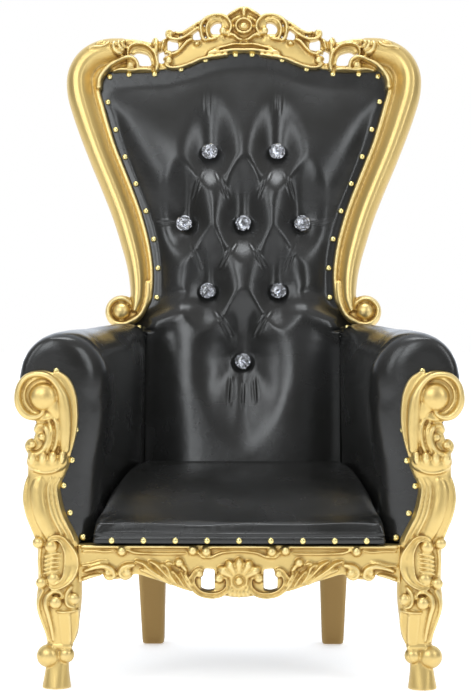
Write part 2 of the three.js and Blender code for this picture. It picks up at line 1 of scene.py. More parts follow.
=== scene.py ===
# A small carved throne: gold-painted frame, black buttoned upholstery, cut-crystal studs.
import bpy
import numpy as np
from math import cos, radians, sin
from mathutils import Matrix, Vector


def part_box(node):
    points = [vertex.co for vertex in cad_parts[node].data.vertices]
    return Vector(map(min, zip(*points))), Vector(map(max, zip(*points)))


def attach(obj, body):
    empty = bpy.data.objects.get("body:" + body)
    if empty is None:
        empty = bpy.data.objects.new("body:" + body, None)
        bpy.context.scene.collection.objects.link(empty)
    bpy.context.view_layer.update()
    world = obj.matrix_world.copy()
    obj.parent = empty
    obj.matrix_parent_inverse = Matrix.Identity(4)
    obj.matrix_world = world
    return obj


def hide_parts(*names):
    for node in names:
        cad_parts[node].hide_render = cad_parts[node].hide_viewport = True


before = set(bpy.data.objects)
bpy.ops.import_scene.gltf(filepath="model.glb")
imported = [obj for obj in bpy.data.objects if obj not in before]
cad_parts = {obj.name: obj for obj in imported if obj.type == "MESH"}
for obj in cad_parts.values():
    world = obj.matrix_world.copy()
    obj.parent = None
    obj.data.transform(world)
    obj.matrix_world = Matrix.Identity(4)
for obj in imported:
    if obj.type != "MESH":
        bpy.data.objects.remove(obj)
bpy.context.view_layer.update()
mm = 0.001  # shapes are drawn in millimetres and made in metres

# the frame's own lines
layout = {
    "backLine": 385.0,     # rear face of the back at the rail's top, behind the foremost carving
    "railTop": 207.0,
    "rake": 10.0,          # lean of the back, degrees
}
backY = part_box("rear_rail")[1][1] / mm + 1.0
frontY = backY - layout["backLine"]


def standing(points):
    # x, depth behind the front plane, height -> the throne's frame
    return np.asarray(points, float) + (0.0, frontY, 0.0)


def leaning(points):
    # x, depth, height along the raked back -> the throne's frame, turned about the rail's top
    p = np.asarray(points, float)
    c, s = cos(radians(layout["rake"])), sin(radians(layout["rake"]))
    return np.stack([p[..., 0], backY + p[..., 1] * c + p[..., 2] * s,
                     layout["railTop"] - p[..., 1] * s + p[..., 2] * c], axis=-1)


# shapes as arrays
def along(values, t):
    # a short list read at t (0..1), straight between its entries
    return np.interp(t, np.linspace(0, 1, len(values)), values)


def ease(t):
    # from 0 to 1 with a level start and end: 3t^2 - 2t^3
    t = np.clip(t, 0, 1)
    return t * t * (3 - 2 * t)


def evenly(line, count):
    # points at equal steps along a line of straight pieces
    gone = np.concatenate([[0], np.cumsum(np.linalg.norm(np.diff(line, axis=0), axis=1))])
    even = np.linspace(0, gone[-1], count)
    return np.stack([np.interp(even, gone, line[:, i]) for i in range(line.shape[1])], axis=1)


def smoothPath(points, count):
    # a cubic through the points, its speed set by the root of each chord, then spaced evenly
    p = np.asarray(points, float)
    steps = np.sqrt(np.linalg.norm(np.diff(p, axis=0), axis=1))
    t = np.concatenate([[0], np.cumsum(steps)])
    slope = np.diff(p, axis=0) / steps[:, None]
    m = np.empty_like(p)
    m[0], m[-1] = slope[0], slope[-1]
    w = steps[1:, None] / (steps[1:] + steps[:-1])[:, None]
    m[1:-1] = w * slope[:-1] + (1 - w) * slope[1:]
    q = np.linspace(t[0], t[-1], 40 * len(p))
    k = np.clip(np.searchsorted(t, q, side="right") - 1, 0, len(steps) - 1)
    h = steps[k]
    u = ((q - t[k]) / h)[:, None]
    h = h[:, None]
    fine = ((2 * u**3 - 3 * u**2 + 1) * p[k] + (u**3 - 2 * u**2 + u) * h * m[k]
            + (3 * u**2 - 2 * u**3) * p[k + 1] + (u**3 - u**2) * h * m[k + 1])
    return evenly(fine, count)


def heading(path):
    # the direction of a path at each of its points
    step = np.gradient(path, axis=0)
    return step / np.linalg.norm(step, axis=1, keepdims=True)


def smoothLevel(pairs):
    # a level that runs smoothly through a few [place, value] pairs
    line = smoothPath(pairs, 200)
    return lambda at: np.interp(at, line[:, 0], line[:, 1])


def rolled(centre, outer, inner, start, turn, count=12):
    # points that wind in round a centre: the radius falls evenly as the angle grows
    t = np.linspace(0, 1, count)
    r = outer + (inner - outer) * t
    a = np.radians(start + turn * t)
    return [[centre[0] + x, centre[1] + z] for x, z in zip(r * np.cos(a), r * np.sin(a))]


def gridFaces(rows, columns):
    # quads between neighbouring rows; the last column meets the first
    i = np.arange(rows - 1)[:, None] * columns
    j = np.arange(columns)[None, :]
    k = (j + 1) % columns
    quads = np.stack([i + j, i + k, i + columns + k, i + columns + j], axis=-1)
    return quads.reshape(-1, 4).tolist()


def loft(rings):
    # a closed skin over rings of equal size, with a fan over each end
    rings = np.asarray(rings, float)
    rows, n = rings.shape[:2]
    points = np.vstack([rings.reshape(-1, 3), rings[0].mean(0), rings[-1].mean(0)])
    faces = gridFaces(rows, n)
    ring = range(n)
    faces += [[rows * n, (k + 1) % n, k] for k in ring]
    last = (rows - 1) * n
    faces += [[rows * n + 1, last + k, last + (k + 1) % n] for k in ring]
    return points, faces


def mirrored(shapes):
    # the same shapes on both sides of the middle, turned the right way out again
    flip = [(points * (-1, 1, 1), [face[::-1] for face in faces]) for points, faces in shapes]
    return list(shapes) + flip


def gather(shapes):
    # several shapes as one list of points and one of faces
    points, faces, start = [], [], 0
    for p, f in shapes:
        points.append(p)
        faces += [[start + i for i in face] for face in f]
        start += len(p)
    return np.vstack(points), faces


def crossSection(across, rise):
    # of a carved strand: across (-1..1), rise (share of the height), root (share of the root's depth)
    return np.vstack([np.stack([across, rise, 0 * across], 1), [[-1, 0, 1], [1, 0, 1]]])


arch = np.linspace(0, np.pi, 13)
rim = np.linspace(1, -1, 21)
inward = 1 - np.abs(rim)
roundSection = crossSection(np.cos(arch), np.sin(arch))
hollowSection = crossSection(rim, np.clip(inward * 9, 0, 1) ** 0.5 * (0.45 + 0.55 * np.abs(rim) ** 1.5))
flatSection = crossSection(rim, np.clip(inward * 7, 0, 1) ** 0.5)
ridgeSection = crossSection(rim, inward ** 0.8)


def strand(points, widths, heights, y=0.0, section=roundSection, root=5.0, spacing=1.6, blunt=True):
    # a section carried along a path in the x-z plane at depth y, its ends rounded off
    rough = smoothPath(points, 60)
    length = np.linalg.norm(np.diff(rough, axis=0), axis=1).sum()
    count = max(10, int(length / spacing))
    path = smoothPath(points, count)
    t = np.linspace(0, 1, count)
    half, height = along(widths, t) / 2, along(heights, t)
    if blunt:
        near = np.minimum(t, 1 - t) * length / np.maximum(half, 0.1)
        shut = np.sqrt(1 - (1 - np.clip(near, 0.03, 1)) ** 2)
        half, height = half * shut, height * (0.4 + 0.6 * shut)
    step = heading(path)
    side = np.stack([step[:, 1], -step[:, 0]], axis=1)
    if callable(y):
        depth = y(path[:, 0], path[:, 1])
    else:
        depth = np.broadcast_to(along(y, t) if np.ndim(y) else y, (count,))
    across = half[:, None] * section[None, :, 0]
    rings = np.empty((count, len(section), 3))
    rings[..., 0] = path[:, None, 0] + side[:, None, 0] * across
    rings[..., 2] = path[:, None, 1] + side[:, None, 1] * across
    rings[..., 1] = depth[:, None] - height[:, None] * section[None, :, 1] + root * section[None, :, 2]
    return loft(rings)


def ball(x, z, y, r, squash=1.0):
    # a sphere of rings from pole to pole, flattened front to back
    a = np.linspace(0.02, np.pi - 0.02, 14)[:, None]
    b = np.linspace(0, 2 * np.pi, 22, endpoint=False)[None, :]
    return loft(np.stack([x + r * np.sin(a) * np.cos(b), y - r * squash * np.cos(a) + 0 * b,
                          z + r * np.sin(a) * np.sin(b)], axis=-1))


def turned(x, z, outline, sides=56):
    # an outline of [radius, depth] pairs turned about an axis that runs front to back
    o = np.asarray(outline, float)
    b = np.linspace(0, 2 * np.pi, sides, endpoint=False)[None, :]
    return loft(np.stack([x + o[:, :1] * np.cos(b), o[:, 1:] + 0 * b, z + o[:, :1] * np.sin(b)], axis=-1))


def slab(lower, upper, front, rear, crown=0.0, cuts=9):
    # a board between a lower and an upper line, its face crowned between them
    lo, up = np.asarray(lower, float), np.asarray(upper, float)
    s = np.linspace(0, 1, cuts)[None, :, None]
    face = lo[:, None] * (1 - s) + up[:, None] * s
    bulge = crown * (1 - (2 * s[..., 0] - 1) ** 2)
    rings = np.empty((len(lo), 2 * cuts, 3))
    rings[:, :cuts, 0], rings[:, :cuts, 2] = face[..., 0], face[..., 1]
    rings[:, :cuts, 1] = front - bulge
    rings[:, cuts:, 0], rings[:, cuts:, 2] = face[:, ::-1, 0], face[:, ::-1, 1]
    rings[:, cuts:, 1] = rear
    return loft(rings)


# making pieces
def makePiece(name, points, faces, material, smooth=True):
    # a mesh object from points in millimetres
    mesh = bpy.data.meshes.new(name)
    mesh.from_pydata(np.asarray(points) * mm, [], faces)
    mesh.validate()
    piece = bpy.data.objects.new(name.replace(" ", "_"), mesh)
    bpy.context.scene.collection.objects.link(piece)
    if smooth:
        mesh.polygons.foreach_set("use_smooth", np.ones(len(mesh.polygons), bool))
    mesh.materials.append(material)
    return piece


def settle(piece, node):
    # the piece stands for its node of the frame
    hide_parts(node)
    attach(piece, "root")


def finished(piece):
    # the piece with its modifiers worked into its mesh
    graph = bpy.context.evaluated_depsgraph_get()
    graph.update()
    done = bpy.data.meshes.new_from_object(piece.evaluated_get(graph))
    old = piece.data
    piece.modifiers.clear()
    piece.data = done
    bpy.data.meshes.remove(old)
    return piece


def meshPoints(mesh):
    # the mesh's points as rows of x, y, z, in metres
    flat = np.empty(len(mesh.vertices) * 3, np.float32)
    mesh.vertices.foreach_get("co", flat)
    return flat.reshape(-1, 3).astype(float)


def meshEdges(mesh):
    # the mesh's edges as pairs of point numbers
    flat = np.empty(len(mesh.edges) * 2, np.int32)
    mesh.edges.foreach_get("vertices", flat)
    return flat.reshape(-1, 2)


def relaxed(values, edges, rounds, share=0.5):
    # each value moves part of the way to the mean of its neighbours
    n = len(values)
    a, b = edges.T
    count = np.maximum(np.bincount(a, minlength=n) + np.bincount(b, minlength=n), 1)
    out = values.reshape(n, -1).copy()
    for _ in range(rounds):
        for c in range(out.shape[1]):
            total = np.bincount(a, out[b, c], n) + np.bincount(b, out[a, c], n)
            out[:, c] += share * (total / count - out[:, c])
    return out.reshape(values.shape)


def markHollows(mesh, rounds, depth):
    # attribute "hollow": how far a point lies below (1) or stands above (-1) its surroundings; the gold paint
    # turns it into painted shade and painted highlight
    points, edges = meshPoints(mesh), meshEdges(mesh)
    normals = np.empty(len(points) * 3, np.float32)
    mesh.vertex_normals.foreach_get("vector", normals)
    wide = relaxed(points, edges, rounds)
    fine = relaxed(points, edges, 4)
    away = ((0.6 * wide + 0.4 * fine - points) * normals.reshape(-1, 3)).sum(1)
    hollow = np.clip(relaxed(away, edges, 2) / depth, -1, 1)
    layer = mesh.attributes.new("hollow", "FLOAT", "POINT")
    layer.data.foreach_set("value", hollow.astype(np.float32))


def evenSkin(piece, voxel, softening):
    # a skin of even quads over all that the piece holds, its tool edges softened
    remesh = piece.modifiers.new("even", "REMESH")
    remesh.mode = "VOXEL"
    remesh.voxel_size = voxel * mm
    remesh.use_smooth_shade = True
    soften = piece.modifiers.new("soften", "SMOOTH")
    soften.factor = 0.5
    soften.iterations = softening
    return finished(piece)


def carve(name, shapes, place, node, voxel, softening=3):
    # joins overlapping closed shapes into one gilt carving
    points, faces = gather(shapes)
    piece = makePiece(name, place(points), faces, gold)
    evenSkin(piece, voxel * (1.0), softening)
    markHollows(piece.data, 24, 0.0011)
    settle(piece, node)
    print(name, "carved:", len(piece.data.polygons), "faces")
    return piece


def mirrorPiece(piece, name, node):
    # the same piece on the other side: x turned over and the faces turned out again
    mesh = piece.data.copy()
    points = meshPoints(mesh) * (-1, 1, 1)
    mesh.vertices.foreach_set("co", points.astype(np.float32).ravel())
    mesh.flip_normals()
    other = bpy.data.objects.new(name.replace(" ", "_"), mesh)
    bpy.context.scene.collection.objects.link(other)
    settle(other, node)
    return other


# materials
def newMaterial(name):
    # a material with its tree of nodes and its shader
    material = bpy.data.materials.new(name)
    material.use_nodes = True
    tree = material.node_tree
    return material, tree, tree.nodes["Principled BSDF"]


def addNode(tree, kind, settings=None, **inputs):
    # a node with its settings; each input is a plain value or another node's socket
    node = tree.nodes.new(kind)
    for key, value in (settings or {}).items():
        setattr(node, key, value)
    for key, value in inputs.items():
        slotName = key.replace("_", " ")
        target = node.inputs[slotName]
        if isinstance(value, bpy.types.NodeSocket):
            tree.links.new(value, target)
        else:
            target.default_value = value
    return node


def objectPlace(tree):
    # where a point lies on its piece
    return addNode(tree, "ShaderNodeTexCoord").outputs["Object"]


def feed(tree, node, **sources):
    # links each source to the node's socket of that name
    for key, source in sources.items():
        tree.links.new(source, node.inputs[key.replace("_", " ")])


def ramp(tree, source, stops):
    # colours spread along the source's values
    node = tree.nodes.new("ShaderNodeValToRGB")
    while len(node.color_ramp.elements) < len(stops):
        node.color_ramp.elements.new(0.5)
    for element, (at, colour) in zip(node.color_ramp.elements, stops):
        element.position = at
        element.color = colour if len(colour) == 4 else (*colour, 1)
    tree.links.new(source, node.inputs["Fac"])
    return node


def grey(v):
    # an even tone
    return (v, v, v, 1)


# colours of the gold: pale is the painted highlight on ridges, mid the paint itself, the third the painted
# brown shade in hollows
goldLook = {
    "pale": (0.74, 0.59, 0.28),
    "mid": (0.61, 0.445, 0.168),
    "hollow_shade": (0.26, 0.145, 0.04),
    "metallic": 0.9,
    "shine": (0.33, 0.45),
}


def mixColours(tree, share, first, second):
    # from the first colour to the second as the share grows
    node = addNode(tree, "ShaderNodeMix", {"data_type": "RGBA"})
    tree.links.new(share, node.inputs["Factor"])
    tree.links.new(first, node.inputs[6])
    tree.links.new(second, node.inputs[7])
    return node.outputs[2]


def newGroup(name, colours, numbers, results):
    # a shader node group with named sockets; returns it with its inner input and output nodes
    group = bpy.data.node_groups.new(name, "ShaderNodeTree")
    for socket in colours:
        group.interface.new_socket(socket, in_out="INPUT", socket_type="NodeSocketColor")
    for socket in numbers:
        group.interface.new_socket(socket, in_out="INPUT", socket_type="NodeSocketFloat")
    for socket, kind in results.items():
        group.interface.new_socket(socket, in_out="OUTPUT", socket_type=kind)
    return group, group.nodes.new("NodeGroupInput"), group.nodes.new("NodeGroupOutput")


def paintWithShading():
    # recesses are darkened to a brown painted shade and ridges lightened to a pale painted highlight, both
    # from the hollow mark; a cloudy patch wanders between; the gloss and the bump are brushed
    tree, given, made = newGroup("paint with painted shade", ("Pale", "Mid", "Hollow Shade"),
                                 ("Least Roughness", "Most Roughness"),
                                 {"Color": "NodeSocketColor", "Roughness": "NodeSocketFloat",
                                  "Normal": "NodeSocketVector"})
    place = objectPlace(tree)
    hollow = addNode(tree, "ShaderNodeAttribute", {"attribute_name": "hollow"}).outputs["Fac"]
    cloudy = addNode(tree, "ShaderNodeTexNoise", Vector=place, Scale=38.0, Detail=6.0, Roughness=0.6)
    brushed = addNode(tree, "ShaderNodeTexNoise", Vector=place, Scale=420.0, Detail=3.0, Roughness=0.55)
    mixed = addNode(tree, "ShaderNodeMath", {"operation": "MULTIPLY_ADD"})
    tree.links.new(cloudy.outputs["Fac"], mixed.inputs[0])
    mixed.inputs[1].default_value = 0.22
    tree.links.new(hollow, mixed.inputs[2])
    # painted highlight: where the mark stands above its surroundings the colour turns pale
    ridgeHighlight = addNode(tree, "ShaderNodeMapRange", Value=mixed.outputs[0], From_Min=-0.7, From_Max=-0.01)
    # painted shade: where the mark lies below its surroundings the colour turns brown
    hollowShade = addNode(tree, "ShaderNodeMapRange", Value=mixed.outputs[0], From_Min=0.32, From_Max=0.82)
    body = mixColours(tree, ridgeHighlight.outputs["Result"], given.outputs["Pale"], given.outputs["Mid"])
    tone = mixColours(tree, hollowShade.outputs["Result"], body, given.outputs["Hollow Shade"])
    rough = addNode(tree, "ShaderNodeMapRange", Value=brushed.outputs["Fac"],
                    To_Min=given.outputs["Least Roughness"], To_Max=given.outputs["Most Roughness"])
    bump = addNode(tree, "ShaderNodeBump", Height=brushed.outputs["Fac"], Strength=0.12, Distance=0.0006)
    feed(tree, made, Color=tone, Roughness=rough.outputs["Result"], Normal=bump.outputs["Normal"])
    return tree


paintEffect = paintWithShading()


def goldPaint(name, look):
    # the shared paint with one look's colours and gloss
    material, tree, shader = newMaterial(name)
    paint = addNode(tree, "ShaderNodeGroup", {"node_tree": paintEffect})
    for socket, colour in (("Pale", look["pale"]), ("Mid", look["mid"]), ("Hollow Shade", look["hollow_shade"])):
        paint.inputs[socket].default_value = (*colour, 1)
    for socket, rough in zip(("Least Roughness", "Most Roughness"), look["shine"]):
        paint.inputs[socket].default_value = rough
    feed(tree, shader, Base_Color=paint.outputs["Color"], Roughness=paint.outputs["Roughness"],
         Normal=paint.outputs["Normal"])
    shader.inputs["Metallic"].default_value = look["metallic"]
    return material


leatherLook = {
    "face": (0.0092, 0.0092, 0.0082),
    "worn": (0.0135, 0.0135, 0.0135),
    "shine": (0.2, 0.3),
    "poreSize": 900.0,
}


def blackLeather(name, look):
    # round pores and broader creases in the bump; tone and gloss change slowly in patches
    material, tree, shader = newMaterial(name)
    place = objectPlace(tree)
    pores = addNode(tree, "ShaderNodeTexVoronoi", Vector=place, Scale=look["poreSize"])
    patch = addNode(tree, "ShaderNodeTexNoise", Vector=place, Scale=14.0, Detail=5.0)
    crease = addNode(tree, "ShaderNodeTexNoise", Vector=place, Scale=95.0, Detail=4.0, Roughness=0.55)
    tone = ramp(tree, patch.outputs["Fac"], [(0.35, look["face"]), (0.75, look["worn"])])
    rough = addNode(tree, "ShaderNodeMapRange", Value=patch.outputs["Fac"], From_Min=0.3, From_Max=0.7,
                    To_Min=look["shine"][0], To_Max=look["shine"][1])
    grain = addNode(tree, "ShaderNodeBump", Height=pores.outputs["Distance"], Strength=0.1, Distance=0.0004)
    soft = addNode(tree, "ShaderNodeBump", Height=crease.outputs["Fac"], Strength=0.16, Distance=0.0012,
                   Normal=grain.outputs["Normal"])
    feed(tree, shader, Base_Color=tone.outputs["Color"], Roughness=rough.outputs["Result"],
         Normal=soft.outputs["Normal"])
    return material


def nailBrass():
    # pale brass, duller in spots
    material, tree, shader = newMaterial("pale brass")
    place = objectPlace(tree)
    spots = addNode(tree, "ShaderNodeTexNoise", Vector=place, Scale=260.0, Detail=3.0)
    tone = ramp(tree, spots.outputs["Fac"], [(0.3, (0.80, 0.70, 0.33)), (0.75, (0.62, 0.50, 0.2))])
    rough = addNode(tree, "ShaderNodeMapRange", Value=spots.outputs["Fac"], To_Min=0.16, To_Max=0.36)
    feed(tree, shader, Base_Color=tone.outputs["Color"], Roughness=rough.outputs["Result"])
    shader.inputs["Metallic"].default_value = 0.95
    return material


def dustCloth():
    # a thin black cloth: two sets of threads crossing, faded in patches
    material, tree, shader = newMaterial("dust cloth")
    place = objectPlace(tree)
    weave = addNode(tree, "ShaderNodeMath", {"operation": "MULTIPLY"})
    for socket, direction in enumerate("XY"):
        threads = addNode(tree, "ShaderNodeTexWave", {"bands_direction": direction}, Vector=place,
                          Scale=260.0,
                          Distortion=0.4)
        tree.links.new(threads.outputs["Fac"], weave.inputs[socket])
    faded = addNode(tree, "ShaderNodeTexNoise", Vector=place, Scale=9.0, Detail=4.0)
    tone = ramp(tree, faded.outputs["Fac"], [(0.3, (0.012, 0.012, 0.012)), (0.75, (0.03, 0.029, 0.028))])
    rough = addNode(tree, "ShaderNodeMapRange", Value=weave.outputs[0], To_Min=0.95, To_Max=0.8)
    bump = addNode(tree, "ShaderNodeBump", Height=weave.outputs[0], Strength=0.4, Distance=0.0005)
    feed(tree, shader, Base_Color=tone.outputs["Color"], Roughness=rough.outputs["Result"],
         Normal=bump.outputs["Normal"])
    return material


gold = goldPaint("gold paint", goldLook)
# a darker, duller copy of the gold paint; its third colour is again the painted shade in hollows
dullGold = goldPaint("dull gold paint", {**goldLook, "pale": (0.38, 0.26, 0.1), "mid": (0.305, 0.192, 0.065),
                                         "hollow_shade": (0.17, 0.095, 0.03), "metallic": 0.7, "shine": (0.36, 0.5)})
leather = blackLeather("black leather", leatherLook)
brass = nailBrass()
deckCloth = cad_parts["seat_deck"].data.materials
deckCloth.clear()
deckCloth.append(dustCloth())
print("materials made")

# carved back frame
backFrame = {
    "memberPath": [[170, 322], [163.5, 342], [162.5, 374], [166, 404], [174, 439], [187, 482], [203, 524],
                   [228.5, 587], [249, 648], [258.5, 684], [258.5, 711], [246, 732], [223, 743],
                   [193, 745.5]],
    "memberWidth": [15, 34, 39, 42.5, 46, 47, 47.5, 48.5, 53, 54, 53.5, 54, 56, 54],
    "volute": (194, 324),
    "face": -25,       # depth of the crest's ground
    "rear": -11,
    "boss": (0, 789),
    "voxel": 1.55,
}


def memberSection():
    # a broad dome that falls into a cove, then a bead along the inner edge: across, forward in mm
    knots = [[-1, 10], [-0.99, 17], [-0.93, 24], [-0.8, 30.6], [-0.6, 35.6], [-0.38, 38], [-0.16, 37.4],
             [0.06, 34.2], [0.26, 29.6], [0.44, 25.2], [0.56, 23.2], [0.64, 24.2], [0.74, 27], [0.87, 28],
             [0.97, 25],
             [1, 18]]
    line = smoothPath(knots, 48)
    rear = [[1, 2], [0.96, 0], [-0.96, 0], [-1, 2]]
    return np.vstack([line, rear])


def memberLine(s, count):
    # the member's path, its direction and its half-width, spaced evenly
    path = smoothPath(s["memberPath"], count)
    knots = np.asarray(s["memberPath"], float)
    gone = np.concatenate([[0], np.cumsum(np.linalg.norm(np.diff(knots, axis=0), axis=1))])
    half = np.interp(np.linspace(0, 1, count), gone / gone[-1], s["memberWidth"]) / 2
    return path, heading(path), half


def sideMember(s):
    # the member's section carried along its path, as wide as the path says
    path, step, half = memberLine(s, 150)
    section = memberSection()
    across = half[:, None] * section[None, :, 0]
    rings = np.empty((len(path), len(section), 3))
    rings[..., 0] = path[:, None, 0] - step[:, None, 1] * across
    rings[..., 2] = path[:, None, 1] + step[:, None, 0] * across
    rings[..., 1] = -section[None, :, 1]
    return loft(rings)


def backVolute(s):
    # a turned disc with a ball for its eye, and a lip that winds in round it
    x, z = s["volute"]
    disc = turned(x, z, [[0.1, 0], [24, 0], [26, -3], [26, -20], [24, -23], [19, -22], [15.5, -20],
                         [0.1, -20]])
    eye = ball(x + 0.5, z, -21, 14.5, 0.85)
    lip = strand([[151.5, 372], [152, 352], [156.5, 332], [165, 316.5],
                  *rolled((x, z), 22.5, 18.5, -120, 300, 16)],
                 [9, 9, 9.5, 10, 9, 8, 5], [8, 9, 10, 10, 10, 8, 4], y=-22, root=14)
    return [disc, eye, lip]


def crestGround(s):
    # boards behind the strands, between the openings: lower line, upper line, how far forward of the ground
    boards = [
        ([[0, 746.5], [18.5, 745], [35, 742.5], [51, 738.5], [65.5, 734], [83.5, 726.5], [101, 721],
         [119, 719.5]],
         [[0, 771], [18.5, 774], [35, 773], [51, 771], [65.5, 768.5], [83.5, 767], [101, 754],
         [119, 749]], 0),
        ([[33, 765], [46, 766], [58, 767]], [[34, 777], [46, 777.5], [57.5, 777]], 1),
        ([[0, 764.5], [9, 768], [18.5, 771], [25, 776]],
         [[0, 821], [9, 817.5], [18.5, 811.5], [28.5, 805]], 3),
        ([[37, 779.5], [30, 776], [23.5, 778]], [[36, 800.5], [30, 803], [23.5, 803.5]], 5),
        ([[104, 769], [111, 769], [118, 770]], [[104, 778], [111, 779], [118, 778]], 1),
        ([[124, 719.5], [132, 718.5], [142, 717]], [[124, 730.5], [132, 729], [142, 730]], 0),
        ([[106, 753], [94.5, 760.5], [82.5, 764.5]], [[106, 768.5], [94.5, 773.5], [82.5, 778]], 0),
        ([[136.5, 748], [130, 750], [123.5, 748]], [[135, 766.5], [130, 768], [123.5, 768.5]], 0),
        ([[145.5, 715], [141.5, 715], [137.5, 715]], [[147, 764.5], [143, 766.5], [137.5, 766.5]], 0),
        ([[202.5, 730], [191.5, 736.5], [183.5, 745], [173.5, 751.5], [159, 752.5], [146, 745]],
         [[202.5, 768], [191.5, 769], [183.5, 769], [173.5, 768], [159, 764.5], [146, 762]], 4),
        ([[212.5, 714.5], [191.5, 714], [170.5, 714], [145.5, 714.5]], [[212.5, 722], [191.5, 724],
         [170.5, 725], [145.5, 725]], 0),
        ([[206, 715], [193, 715], [180, 715], [169, 715]], [[202.5, 726.5], [193, 732.5], [180, 734],
         [170.5, 726.5]], 1),
    ]
    made = []
    for low, high, forward in boards:
        made.append(slab(smoothPath(low, 30), smoothPath(high, 30), s["face"] + 3 - forward, s["rear"],
         crown=1.5))
    return made


